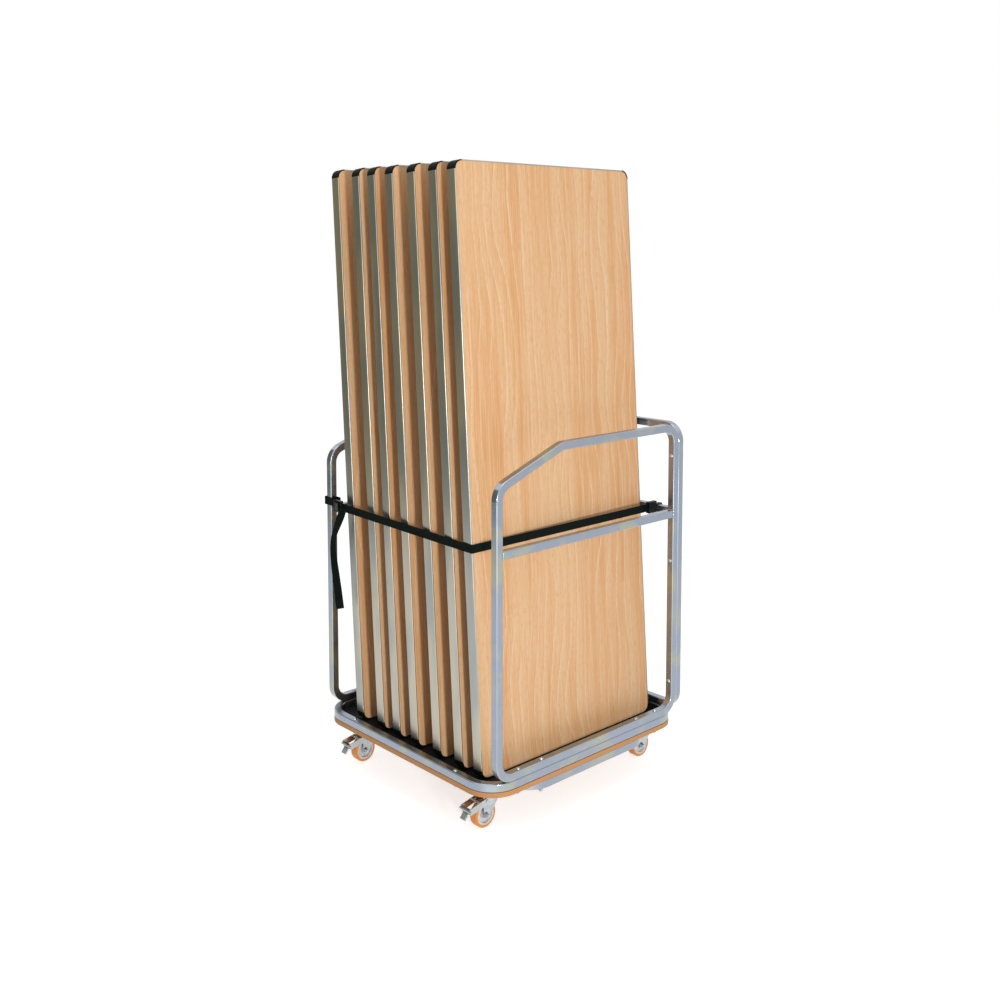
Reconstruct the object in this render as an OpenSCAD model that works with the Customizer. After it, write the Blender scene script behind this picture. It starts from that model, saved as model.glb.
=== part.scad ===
// Banquet table trolley: a plywood deck on four castors inside a bent square-tube frame,
// loaded with folding tables that stand on end and are held by one webbing strap.
// Millimetres, +Z up. The origin is on the floor under the middle of the deck.
// The open loading end faces -Y, the rear hoop stands at +Y and the tables face +X.

/* [Tube] */
// Width of the square tube
tube_w = 25; // [20:0.5:30]
// Corner radius of the square tube
tube_corner_r = 3.5; // [1:0.5:6]
// Bend radius of the hoops on the tube's centre line
hoop_bend_r = 50; // [35:1:70]
// Bend radius at the kink of a side hoop on the tube's centre line
kink_bend_r = 30; // [20:1:60]

/* [Base] */
// Width of the base over the side hoops
base_w = 845; // [800:1:950]
// Length of the base from the loading end to the back of the rear hoop
base_l = 865; // [850:1:1000]
// Outer corner radius of the base in plan
base_corner_r = 97; // [70:1:130]
// Thickness of the plywood deck
deck_t = 15; // [9:1:24]
// Thickness of the rubber mat
mat_t = 3; // [2:0.5:6]
// Gap between the mat and the rim tube
mat_gap = 1; // [0.5:0.5:5]
// Distance of the tube ring under the deck from the deck's ends
under_setback = 152; // [145:1:160]
// Outer corner radius of the tube ring under the deck
under_corner_r = 85; // [60:1:95]

/* [Hoops] */
// Height of the hoops
hoop_h = 975; // [850:5:1030]
// Height of the middle rail's top above the hoop's foot
mid_rail_top = 687.5; // [560:0.5:720]
// Distance from the loading end of a side hoop to its kink
shoulder_l = 270; // [220:1:360]
// Slope of a side hoop's shoulder in degrees
shoulder_angle = 20.5; // [10:0.5:30]

/* [Fasteners] */
// Diameter of the frame bolts
bolt_d = 8; // [6:1:10]
// Diameter of a bolt's domed head
bolt_head_d = 15; // [12:0.5:18]
// Height of a bolt's domed head
bolt_head_h = 4.5; // [3:0.5:6]
// Width of a nut across its flats
nut_w = 13; // [12:0.5:16]
// Height of a nut
nut_h = 6.5; // [5:0.5:9]
// Length of thread that shows past a nut
bolt_end = 4; // [1:0.5:8]
// Distance from an end of the base to the bolts that hold the ring under the deck
ring_bolt_inset = 216.5; // [212:0.5:250]
// Distance from an end of the base to the bolts near the ends of a side rail
rail_bolt_inset = 120.5; // [102:0.5:135]
// Distance from mid width to the bolts in the front rail
front_bolt_x = 255; // [200:1:280]
// Distance from mid width to the bolts in the rear rails
rear_bolt_x = 225; // [180:1:236]

/* [Castors] */
// Height of a castor from the floor to the top of its plate
castor_h = 135; // [130:1:160]
// Distance from a side of the base to the swivel axes
castor_side_inset = 120; // [108:1:124]
// Distance from the loading end to the front swivel axes
castor_front_inset = 105; // [80:1:108]
// Distance from the rear end to the rear swivel axes
castor_rear_inset = 49; // [49:1:60]
// Distance from a swivel axis back to its wheel's axle
trail = 27; // [20:1:27]
// Diameter of a wheel
wheel_d = 80; // [70:1:85]
// Width of a tyre
tyre_w = 28; // [22:1:30]
// Thickness of a tyre
tyre_t = 8; // [5:0.5:12]
// Width of a castor plate
plate_w = 100; // [90:1:110]
// Length of a castor plate
plate_l = 85; // [82:1:95]
// Thickness of a castor plate
plate_t = 4; // [3:0.5:6]
// Bolt spacing across a castor plate
plate_bolt_x = 80; // [76:1:84]
// Bolt spacing along a castor plate
plate_bolt_y = 60; // [58:1:66]
// Diameter of the swivel head
head_d = 60; // [50:1:70]
// Diameter of the king pin
king_d = 12; // [10:0.5:16]
// Thickness of a fork's cheeks
fork_t = 3; // [2:0.5:4]
// Diameter of an axle
axle_d = 10; // [8:0.5:12]
// Length of a brake arm from its pivot
brake_arm_l = 68; // [66:1:80]
// Depth of a brake arm's sides
brake_arm_h = 20; // [16:0.5:24]

/* [Tables] */
// Length of a table
table_l = 1830; // [1500:5:1900]
// Gap between a table's long edges and the tubes at the ends of the base
table_end_gap = 26.5; // [15:0.5:60]
// Depth of a table's edge
table_edge = 36; // [32:0.5:40]
// Corner radius of a table
table_corner_r = 28; // [20:1:40]
// Thickness of a table's laminated panel
panel_t = 18; // [15:0.5:20]
// Wall of the aluminium edging
edging_wall = 2; // [1:0.5:3]
// Gap between the first table's folded legs and the top of the far hoop that it leans towards
lean_gap = 4.4; // [1:0.2:20]
// Gap between a table's folded legs and the next table's face where they stand closest
leg_clear = 13.3; // [5:0.1:16]
// Width of the square tube in a table's legs
leg_w = 25; // [20:0.5:26]

/* [Strap] */
// Width of the webbing
strap_w = 26; // [20:1:30]
// Thickness of the webbing
strap_t = 2; // [1:0.1:3]
// Height of the strap above the middle rails at the far hoop
strap_hoop_rise = 20; // [0:1:40]
// Height of the strap below the middle rails at the last table
strap_table_drop = 7; // [0:1:25]
// Height of the strap above the middle rail at the rear hoop
strap_rear_rise = 7; // [0:1:12]

/* [Hidden] */
$fn = 48;

// Overrun of every cut past the faces that it breaks
overrun = 1;
// Radial clearance of a bolt in its hole
bolt_clear = 0.25;
// Radial clearance of a turning pin in its bore
run_clear = 0.05;
// Gap between faces that move past each other
face_gap = 0.3;
// Swelling of a slanted bend over its tube, and the length of tube that runs into it
bend_swell = 0.1;
bend_seat = 0.5;
// Gap between webbing and what it passes
strap_gap = 0.6;

// Heights of the base, from the floor up
deck_z = castor_h;
deck_top = deck_z + deck_t;
mat_top = deck_top + mat_t;
rim_z = deck_top + tube_w / 2;
hoop_foot = deck_top + tube_w;
hoop_top = hoop_foot + hoop_h;
rail_top = hoop_foot + tube_w;
under_z = deck_z - tube_w / 2;
mid_rail_z = hoop_foot + mid_rail_top - tube_w / 2;

// Centre lines of the tubes and of their bolts
side_x = base_w / 2 - tube_w / 2;
end_y = base_l / 2 - tube_w / 2;
hoop_y = end_y - tube_w;
under_y = base_l / 2 - under_setback - tube_w / 2;
kink_y = -hoop_y - tube_w / 2 + shoulder_l;
ring_bolt_y = base_l / 2 - ring_bolt_inset;
rail_bolt_y = base_l / 2 - rail_bolt_inset;

// Heights of the upright bolts as shares of the hoop's height
upright_bolt_shares = [0.11, 0.53, 0.89];

// Castor places, in the order of their names
castor_names = ["front_right", "front_left", "rear_right", "rear_left"];
castor_sides = [[1, -1], [-1, -1], [1, 1], [-1, 1]];
castor_x = base_w / 2 - castor_side_inset;
castor_front_y = castor_front_inset - base_l / 2;
castor_rear_y = base_l / 2 - castor_rear_inset;
plate_corner_r = 8;

// Swivel head: fixed race on the plate, turning cup on the fork
race_h = 9;
race_lip = 2;
race_d = head_d + 2 * race_lip;
cup_h = 12;
crown_t = 4;
king_head_d = 20;
king_head_h = 4;
race_z = castor_h - plate_t - race_h;
cup_top = race_z - face_gap;
crown_top = cup_top - cup_h;
king_end = crown_top - crown_t - face_gap - king_head_h;

// Fork and wheel
wheel_r = wheel_d / 2;
hub_side_gap = 1;
hub_proud = 1;
hub_w = tyre_w + 2 * hub_proud;
fork_gap = hub_w + 2 * hub_side_gap;
fork_out = fork_gap + 2 * fork_t;
crown_front = 40;
crown_back = 40;
eye_r = 12;
hub_r = wheel_r - tyre_t;
hub_rim_t = 6;
hub_boss_r = 13;
hub_web_t = 7;
tyre_seat = 0.3;
shoulder_r = 3.5;
axle_head_w = 16;
axle_head_h = 5;
axle_fit = 0.1;

// Brake of a front castor
brake_rise = 43.5;
brake_slope = 11;
brake_t = 2.5;
brake_side_gap = 0.4;
pin_d = 7;
rivet_d = 11;
rivet_h = 1.5;
brake_web_from = 50;
brake_rod_d = 8;
brake_rod_out = 4;
brake_bar_d = 8;
brake_bar_at = 22;
brake_bar_drop = 1.5;
pad_l = 20;
pad_w = 22;
pad_t = 5;
pad_slope = 52;
brake_pivot_z = wheel_r + brake_rise;
brake_in = fork_out / 2 + brake_side_gap;

// Tables: places of their faces at the deck, as shares of the clear width between the side hoops
face_shares = [0.1742, 0.316, 0.4208, 0.5373, 0.6747, 0.8048, 0.9138];
table_count = len(face_shares);
clear_w = base_w - 2 * tube_w;
far_face_x = -clear_w / 2;
least_pitch = clear_w * min([for (i = [1 : table_count - 1]) face_shares[i] - face_shares[i - 1]]);
table_w = base_l - 2 * (tube_w + table_end_gap);
table_rest = 0.3;
edging_lip = 4;
edging_shelf = 6;
edging_back = 11;
lip_t = 1;
shelf_t = 1.5;
panel_gap = 0.2;
panel_back = lip_t + panel_t;

// Folded leg frames, measured in from a table's end and back from its face
leg_gap = least_pitch - panel_back - leg_w - leg_clear;
leg_end = 150;
leg_share = 0.388;
leg_l = leg_share * table_l;
leg_inset = 91;
leg_y = table_w / 2 - leg_inset;
leg_back = panel_back + leg_gap + leg_w;
lean = atan((face_shares[0] * clear_w - leg_back - lean_gap) / (hoop_top - mat_top));
table_foot_z = mat_top + table_rest + table_edge * sin(lean);
pivot_at = 24;
stretcher_at = 500;
foot_h = 18;
ear_t = 3;
ear_l = 44;
ear_foot = 70;
pivot_d = 12;
pivot_out = 5;
apron_w = 25;
apron_inset = 176;
apron_y = table_w / 2 - apron_inset;
apron_end = 330;
apron_clear = 0.4;
stay_w = 22;
stay_t = 4;
stay_from = 380;

// Strap: round the far upright, across the tables' edges, along the last face to the rear rail
loop_l = 58;
loop_out = 12;
loop_corner_r = 8;
loop_clear = 2;
buckle_l = 40;
buckle_h = 37;
buckle_t = 13;
buckle_corner_r = 3;
slot_gap = 0.4;
lever_l = 30;
lever_t = 3;
lever_angle = 14;
lever_pin_d = 9;
clip_inset_x = 98;
clip_l = 38;
clip_h = 38;
clip_t = 14;
clip_hook_t = 3;
clip_hook_drop = 12;
clip_gap = 0.4;

// Route of the strap's hanging tail from the buckle down, as steps from the strap's start
tail_route = [
    [53.6, -3, 0], [53.1, -7, -12], [49.6, -10, -27], [41, -11, -44], [30, -11, -63], [19, -11, -82],
    [10, -11, -102], [5, -11, -124], [4, -11, -148], [7, -11, -172], [11, -11, -196], [16, -11, -220],
    [21, -11, -244], [27, -11, -270], [32, -11, -294], [37, -11, -318], [42, -11, -341]
];
// Twist of the tail about its own line at each point, in degrees
tail_twists = [0, 0, 5, 14, 26, 38, 48, 55, 52, 46, 38, 30, 22, 15, 10, 6, 6];

castor_pieces = ["fork", "axle", "hub", "tyre"];
table_pieces = ["top", "edging", "caps", "legs"];

function unit(v) = v / norm(v);
function heading(v) = atan2(v.y, v.x);
function left_turn(a, b) = (heading(b) - heading(a) + 720) % 360;

// Point where a line from p touches a circle, on the side given by 1 or -1
function tangent(p, centre, r, side) =
    let (a = heading(p - centre) + side * acos(r / norm(p - centre)))
    centre + r * [cos(a), sin(a)];

// Face position of table i at the deck, counted from the far hoop
function table_x(i) = far_face_x + face_shares[i] * clear_w;

module rounded_rect(size, r) {
    square([size.x - 2 * r, size.y], center = true);
    square([size.x, size.y - 2 * r], center = true);
    for (sx = [-1, 1], sy = [-1, 1])
        translate([sx * (size.x / 2 - r), sy * (size.y / 2 - r)]) circle(r = r);
}

module tube_profile(w = tube_w, swell = 0) {
    rounded_rect([w + 2 * swell, w + 2 * swell], tube_corner_r + swell);
}

// Straight tube along +X from the origin
module tube_run(length, w = tube_w) {
    rotate([90, 0, 90]) linear_extrude(length) tube_profile(w);
}

// Closed loop of tube in the XY plane: straight runs between round bends, turning left.
// A slanted bend is marked by 1: it swells a little and the runs reach into it.
module tube_loop(points, radii, slanted = [0, 0, 0, 0]) {
    n = len(points);
    runs = [for (i = [0 : n - 1]) points[(i + 1) % n] - points[i]];
    turns = [for (i = [0 : n - 1]) left_turn(runs[(i + n - 1) % n], runs[i])];
    cuts = [for (i = [0 : n - 1]) radii[i] * tan(turns[i] / 2)];
    for (i = [0 : n - 1]) {
        into = runs[(i + n - 1) % n];
        entry = points[i] - unit(into) * cuts[i];
        centre = entry + radii[i] * [-sin(heading(into)), cos(heading(into))];
        start_cut = cuts[i] - slanted[i] * bend_seat;
        end_cut = cuts[(i + 1) % n] - slanted[(i + 1) % n] * bend_seat;
        start = points[i] + unit(runs[i]) * start_cut;
        translate([start.x, start.y, 0])
            rotate(heading(runs[i]))
                tube_run(norm(runs[i]) - start_cut - end_cut);
        translate([centre.x, centre.y, 0])
            rotate(heading(into) - 90)
                rotate_extrude(angle = turns[i])
                    translate([radii[i], 0]) tube_profile(swell = slanted[i] * bend_swell);
    }
}

function rect_path(x, y0, y1) = [[-x, y0], [x, y0], [x, y1], [-x, y1]];

// Bolts: the head sits on the origin's plane and the shank runs down
module bolt(grip) {
    cylinder(d1 = bolt_head_d, d2 = bolt_head_d / 2, h = bolt_head_h);
    translate([0, 0, -grip]) cylinder(d = bolt_d, h = grip);
}

module bolt_hole(grip) {
    translate([0, 0, -grip - overrun]) cylinder(r = bolt_d / 2 + bolt_clear, h = grip + 2 * overrun);
}

module nut() {
    difference() {
        cylinder(d = nut_w / cos(30), h = nut_h, $fn = 6);
        translate([0, 0, -overrun]) cylinder(r = bolt_d / 2 + bolt_clear, h = nut_h + 2 * overrun);
    }
}

// Vertical bolts: place of the head and depth of the stack that it holds
ring_sites = [for (sx = [-1, 1], sy = [-1, 1])
    [[sx * side_x, sy * ring_bolt_y, rail_top], rail_top - deck_z + tube_w]];
rail_sites = [for (sx = [-1, 1], sy = [-1, 1])
    [[sx * side_x, sy * rail_bolt_y, rail_top], rail_top - deck_z]];
front_sites = [for (sx = [-1, 1]) [[sx * front_bolt_x, -end_y, hoop_foot], hoop_foot - deck_z]];
rear_sites = [for (sx = [-1, 1]) [[sx * rear_bolt_x, end_y, rail_top], rail_top - deck_z]];
frame_sites = concat(ring_sites, rail_sites, front_sites, rear_sites);

// Bolts along Y that join the rear hoop to the side hoops
upright_grip = 2 * tube_w;
upright_sites = [for (sx = [-1, 1], s = upright_bolt_shares)
    [sx * side_x, hoop_y - tube_w / 2, hoop_foot + s * hoop_h]];

module frame_holes() {
    for (s = frame_sites) translate(s[0]) bolt_hole(s[1]);
    for (p = upright_sites) translate(p) rotate([90, 0, 0]) bolt_hole(upright_grip);
}

module at_castor(i) {
    y = castor_sides[i].y < 0 ? castor_front_y : castor_rear_y;
    translate([castor_sides[i].x * castor_x, y, 0]) children();
}

module at_plate_bolts() {
    for (sx = [-1, 1], sy = [-1, 1])
        translate([sx * plate_bolt_x / 2, sy * plate_bolt_y / 2, castor_h - plate_t])
            rotate([180, 0, 0]) children();
}

module base_board() {
    color("burlywood") difference() {
        translate([0, 0, deck_z]) linear_extrude(deck_t) rounded_rect([base_w, base_l], base_corner_r);
        frame_holes();
        for (i = [0 : len(castor_names) - 1]) at_castor(i) at_plate_bolts() bolt_hole(plate_t + deck_t);
    }
}

module base_mat() {
    edge = tube_w + mat_gap;
    color([0.08, 0.08, 0.08]) translate([0, 0, deck_top]) linear_extrude(mat_t)
        rounded_rect([base_w - 2 * edge, base_l - 2 * edge], base_corner_r - edge);
}

module base_rim() {
    r = base_corner_r - tube_w / 2;
    color("silver") difference() {
        translate([0, 0, rim_z]) tube_loop(rect_path(side_x, -end_y, end_y), [r, r, r, r]);
        frame_holes();
    }
}

module under_frame() {
    r = under_corner_r - tube_w / 2;
    color("silver") difference() {
        translate([0, 0, under_z]) tube_loop(rect_path(side_x, -under_y, under_y), [r, r, r, r]);
        frame_holes();
    }
}

// Side hoop in the YZ plane: its loading end is lowered by a sloping shoulder
module side_hoop(side) {
    low = hoop_foot + tube_w / 2;
    high = hoop_top - tube_w / 2;
    drop = (hoop_y + kink_y) * tan(shoulder_angle);
    path = [[-hoop_y, low], [hoop_y, low], [hoop_y, high], [kink_y, high], [-hoop_y, high - drop]];
    radii = [hoop_bend_r, hoop_bend_r, hoop_bend_r, kink_bend_r, hoop_bend_r];
    color("silver") difference() {
        translate([side * side_x, 0, 0]) rotate([90, 0, 90]) union() {
            tube_loop(path, radii, [0, 0, 0, 1, 1]);
            translate([-hoop_y, mid_rail_z, 0]) tube_run(2 * hoop_y);
        }
        frame_holes();
    }
}

module rear_hoop() {
    low = hoop_foot + tube_w / 2;
    high = hoop_top - tube_w / 2;
    r = hoop_bend_r;
    color("silver") difference() {
        translate([0, end_y, 0]) rotate([90, 0, 0]) union() {
            tube_loop(rect_path(side_x, low, high), [r, r, r, r]);
            translate([-side_x, mid_rail_z, 0]) tube_run(2 * side_x);
        }
        frame_holes();
    }
}

module frame_bolts() {
    color("gainsboro") {
        for (s = frame_sites) translate(s[0]) bolt(s[1] + nut_h + bolt_end);
        for (p = upright_sites) translate(p) rotate([90, 0, 0]) bolt(upright_grip + nut_h + bolt_end);
        for (i = [0 : len(castor_names) - 1]) at_castor(i) at_plate_bolts() bolt(plate_t + deck_t);
    }
}

module frame_nuts() {
    color("gainsboro") {
        for (s = frame_sites) translate([s[0].x, s[0].y, s[0].z - s[1] - nut_h]) nut();
        for (p = upright_sites)
            translate([p.x, p.y + upright_grip, p.z]) rotate([-90, 0, 0]) nut();
    }
}

// Castor plate with its fixed race and king pin
module castor_plates() {
    color("lightgray") for (i = [0 : len(castor_names) - 1]) at_castor(i) difference() {
        union() {
            translate([0, 0, castor_h - plate_t]) linear_extrude(plate_t)
                rounded_rect([plate_w, plate_l], plate_corner_r);
            translate([0, 0, race_z]) cylinder(d = race_d, h = race_h);
            translate([0, 0, king_end]) cylinder(d = king_d, h = race_z - king_end);
            translate([0, 0, king_end]) cylinder(d = king_head_d, h = king_head_h);
        }
        at_plate_bolts() bolt_hole(plate_t);
    }
}

// Outline of a fork's cheek in YZ: tangents from the crown's corners down to the axle eye
module cheek_outline() {
    eye = [-trail, wheel_r];
    front = [-crown_front, crown_top - crown_t];
    back = [crown_back, crown_top - crown_t];
    polygon([
        [-crown_front, crown_top], front, tangent(front, eye, eye_r, 1),
        eye, tangent(back, eye, eye_r, -1), back, [crown_back, crown_top]
    ]);
    translate(eye) circle(r = eye_r);
}

module along_x(width) {
    translate([-width / 2, 0, 0]) rotate([0, 90, 0]) children();
}

module castor_fork(i) {
    braked = castor_sides[i].y < 0;
    pin_out = brake_in + brake_t + face_gap;
    color("lightgray") at_castor(i) difference() {
        union() {
            for (side = [-1, 1])
                translate([side * (fork_gap + fork_t) / 2 - fork_t / 2, 0, 0])
                    rotate([90, 0, 90]) linear_extrude(fork_t) cheek_outline();
            translate([-fork_out / 2, -crown_front, crown_top - crown_t])
                cube([fork_out, crown_front + crown_back, crown_t]);
            translate([0, 0, crown_top - crown_t]) cylinder(d = head_d, h = crown_t + cup_h);
            if (braked) for (side = [-1, 1]) mirror([side < 0 ? 1 : 0, 0, 0])
                translate([fork_out / 2, -trail, brake_pivot_z]) rotate([0, 90, 0]) {
                    cylinder(d = pin_d, h = pin_out - fork_out / 2);
                    translate([0, 0, pin_out - fork_out / 2]) cylinder(d = rivet_d, h = rivet_h);
                }
        }
        translate([0, 0, crown_top - crown_t - overrun])
            cylinder(r = king_d / 2 + run_clear, h = crown_t + cup_h + 2 * overrun);
        translate([0, -trail, wheel_r]) along_x(fork_out + 2 * overrun)
            cylinder(r = axle_d / 2 + axle_fit, h = fork_out + 2 * overrun);
    }
}

// Axle bolt with a hexagon head outside one cheek and a lock nut outside the other
module castor_axle(i) {
    hex_d = axle_head_w / cos(30);
    shank_l = fork_out + axle_head_h + bolt_end;
    color("gainsboro") at_castor(i) translate([-fork_out / 2, -trail, wheel_r]) rotate([0, 90, 0]) {
        translate([0, 0, -axle_head_h]) cylinder(d = hex_d, h = axle_head_h, $fn = 6);
        cylinder(d = axle_d, h = shank_l);
        translate([0, 0, fork_out]) difference() {
            cylinder(d = hex_d, h = axle_head_h, $fn = 6);
            translate([0, 0, -overrun])
                cylinder(r = axle_d / 2 + axle_fit, h = axle_head_h + 2 * overrun);
        }
    }
}

// Half section of a wheel: radius along X, width along Y
module ring_section(r0, r1, w) {
    translate([r0, -w / 2]) square([r1 - r0, w]);
}

module castor_hub(i) {
    bore_r = axle_d / 2 + run_clear;
    color("whitesmoke") at_castor(i) translate([0, -trail, wheel_r]) rotate([0, 90, 0]) rotate_extrude() {
        ring_section(bore_r, hub_boss_r, hub_w);
        ring_section(bore_r, hub_r, hub_web_t);
        ring_section(hub_r - hub_rim_t, hub_r, tyre_w - hub_side_gap);
    }
}

module castor_tyre(i) {
    color("darkorange") at_castor(i) translate([0, -trail, wheel_r]) rotate([0, 90, 0]) rotate_extrude() {
        ring_section(hub_r + tyre_seat, wheel_r - shoulder_r, tyre_w);
        ring_section(hub_r + tyre_seat, wheel_r, tyre_w - 2 * shoulder_r);
        for (side = [-1, 1])
            translate([wheel_r - shoulder_r, side * (tyre_w / 2 - shoulder_r)]) circle(r = shoulder_r);
    }
}

// Side of a brake arm: its pivot eye at the origin, its tip towards -X
module brake_side() {
    rotate(brake_slope) translate([-brake_arm_l, -brake_arm_h / 2]) square([brake_arm_l, brake_arm_h]);
    circle(d = brake_arm_h);
}

module castor_brake(i) {
    out = 2 * (brake_in + brake_t);
    color("lightsteelblue") at_castor(i) translate([0, -trail, brake_pivot_z]) {
        difference() {
            for (side = [-1, 1])
                translate([side * (brake_in + brake_t / 2) - brake_t / 2, 0, 0])
                    rotate([90, 0, 90]) linear_extrude(brake_t) brake_side();
            along_x(out + 2 * overrun) cylinder(r = pin_d / 2 + run_clear, h = out + 2 * overrun);
        }
        translate([0, -brake_bar_at, -brake_bar_drop]) along_x(out) cylinder(d = brake_bar_d, h = out);
        rotate([brake_slope, 0, 0]) {
            translate([-out / 2, -brake_arm_l, -brake_arm_h / 2])
                cube([out, brake_arm_l - brake_web_from, brake_t]);
            translate([0, -brake_arm_l, 0]) along_x(out + 2 * brake_rod_out)
                cylinder(d = brake_rod_d, h = out + 2 * brake_rod_out);
            translate([0, -brake_arm_l, -brake_arm_h / 2]) rotate([pad_slope - brake_slope, 0, 0])
                translate([-pad_w / 2, -pad_l, 0]) cube([pad_w, pad_l + pad_t, pad_t]);
        }
    }
}

// Table i in its own frame: face on X = 0, back towards -X, standing on Z = 0
module at_table(i) {
    translate([table_x(i), 0, table_foot_z]) rotate([0, -lean, 0]) children();
}

module table_top(i) {
    edge = edging_wall + panel_gap;
    color("navajowhite") at_table(i) translate([-panel_back, 0, table_l / 2])
        rotate([90, 0, 90]) linear_extrude(panel_t)
            rounded_rect([table_w - 2 * edge, table_l - 2 * edge], table_corner_r - edge);
}

// Section of the edging: X inwards from the rim, Y back from the face
module edging_section() {
    square([edging_wall, table_edge]);
    square([edging_lip, lip_t - panel_gap / 2]);
    translate([0, panel_back + panel_gap / 2]) square([edging_shelf, shelf_t]);
    translate([0, table_edge - shelf_t]) square([edging_back, shelf_t]);
}

// The four sides of a table turned onto its foot: even ones are the ends, odd ones the long sides
function side_half(k) = (k % 2 == 0 ? table_l : table_w) / 2;

module at_side(k) {
    translate([0, 0, table_l / 2]) rotate([90 * k, 0, 0]) translate([0, 0, -side_half(k)]) children();
}

module table_edging(i) {
    color("darkgray") at_table(i) for (k = [0 : 3]) {
        reach = side_half(k + 1) - table_corner_r;
        at_side(k) translate([0, reach, 0]) rotate([90, -90, 0]) linear_extrude(2 * reach) edging_section();
    }
}

// Black corner pieces of the edging and the plugs in the legs' ends
module table_caps(i) {
    color([0.1, 0.1, 0.1]) at_table(i) {
        for (k = [0 : 3])
            at_side(k) translate([0, table_corner_r - side_half(k + 1), table_corner_r])
                rotate([0, -90, 0]) rotate(180) rotate_extrude(angle = 90)
                    translate([table_corner_r, 0]) mirror([1, 0]) edging_section();
        at_leg_ends() for (side = [-1, 1])
            at_leg(side) translate([0, 0, leg_end + leg_l - foot_h]) linear_extrude(foot_h)
                tube_profile(leg_w);
    }
}

// Both leg frames fold in from the ends, so the second is the first one turned over
module at_leg_ends() {
    for (k = [0, 2]) at_side(k) children();
}

module at_leg(side) {
    translate([leg_w / 2 - leg_back, side * leg_y, 0]) children();
}

module cross_tube(height) {
    translate([leg_w / 2 - leg_back, -leg_y, height]) rotate(90) tube_run(2 * leg_y, leg_w);
}

// Pivot bracket: a foot on the panel and two ears beside the leg
module leg_bracket() {
    half = leg_w / 2;
    reach = leg_gap + half;
    translate([half + leg_gap - ear_t, -ear_foot / 2, -ear_l / 2]) cube([ear_t, ear_foot, ear_l]);
    for (side = [-1, 1]) translate([0, side * (half + ear_t / 2) + ear_t / 2, 0]) rotate([90, 0, 0]) {
        cylinder(d = leg_w, h = ear_t);
        translate([0, -half, 0]) cube([reach, leg_w, ear_t]);
    }
    translate([0, half + ear_t + pivot_out, 0]) rotate([90, 0, 0])
        cylinder(d = pivot_d, h = leg_w + 2 * (ear_t + pivot_out));
}

module leg_frame() {
    for (side = [-1, 1]) at_leg(side) {
        translate([0, 0, leg_end]) linear_extrude(leg_l - foot_h) tube_profile(leg_w);
        translate([0, 0, leg_end + pivot_at]) leg_bracket();
    }
    cross_tube(leg_end + pivot_at);
    cross_tube(leg_end + stretcher_at);
    translate([-leg_back + leg_w / 2 - stay_t / 2, -stay_w / 2, stay_from])
        cube([stay_t, stay_w, leg_end + stretcher_at - stay_from]);
    translate([-leg_back + leg_w / 2 - stay_t / 2, -stay_w / 2, stay_from])
        cube([leg_back - panel_back - leg_w / 2 + stay_t / 2, stay_w, stay_w]);
}

module table_legs(i) {
    color("lightslategray") at_table(i) {
        at_leg_ends() leg_frame();
        for (side = [-1, 1])
            translate([-panel_back - leg_gap + apron_clear, side * apron_y - apron_w / 2, apron_end])
                cube([leg_gap - apron_clear, apron_w, table_l - 2 * apron_end]);
    }
}

// Strap in plan: from the buckle at the far upright, round the last table's edge, to the rear clip
strap_hoop_z = mid_rail_z + strap_hoop_rise;
strap_table_z = mid_rail_z - strap_table_drop;
strap_rear_z = mid_rail_z + strap_rear_rise;
edge_x = table_x(table_count - 1) - (strap_table_z - strap_w / 2 - table_foot_z) * tan(lean);
strap_edge = [edge_x, -table_w / 2];
strap_r = strap_gap + strap_t / 2;
loop_x = -side_x - tube_w / 2 - loop_out + loop_l / 2;
strap_start = [loop_x + loop_l / 2 + strap_t + strap_gap, -hoop_y - tube_w / 2 - strap_r];
strap_finish = [base_w / 2 - clip_inset_x, end_y - tube_w / 2 - clip_l / 2];
front_touch = tangent(strap_start, strap_edge, strap_r, 1);
side_touch = tangent(strap_finish, strap_edge, strap_r, -1);

// Flat run of webbing between two plan points, with a height at each
module strap_run(from, to, z0, z1, w = strap_w, t = strap_t) {
    l = norm(to - from);
    translate([from.x, from.y, 0]) rotate(heading(to - from)) rotate([90, 0, 0])
        translate([0, 0, -t / 2]) linear_extrude(t)
            polygon([[0, z0 - w / 2], [l, z1 - w / 2], [l, z1 + w / 2], [0, z0 + w / 2]]);
}

module strap_band() {
    start = heading(front_touch - strap_edge);
    loop_w = tube_w + 2 * strap_gap;
    color([0.07, 0.09, 0.08]) {
        strap_run(strap_start, front_touch, strap_hoop_z, strap_table_z);
        translate([strap_edge.x, strap_edge.y, strap_table_z - strap_w / 2]) rotate(start)
            rotate_extrude(angle = heading(side_touch - strap_edge) - start)
                translate([strap_gap, 0]) square([strap_t, strap_w]);
        strap_run(side_touch, strap_finish, strap_table_z, strap_rear_z);
        translate([loop_x, -hoop_y, mid_rail_z + tube_w / 2 + loop_clear])
            linear_extrude(strap_w) difference() {
                rounded_rect([loop_l + 2 * strap_t, loop_w + 2 * strap_t], loop_corner_r + strap_t);
                rounded_rect([loop_l, loop_w], loop_corner_r);
            }
    }
}

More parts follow.
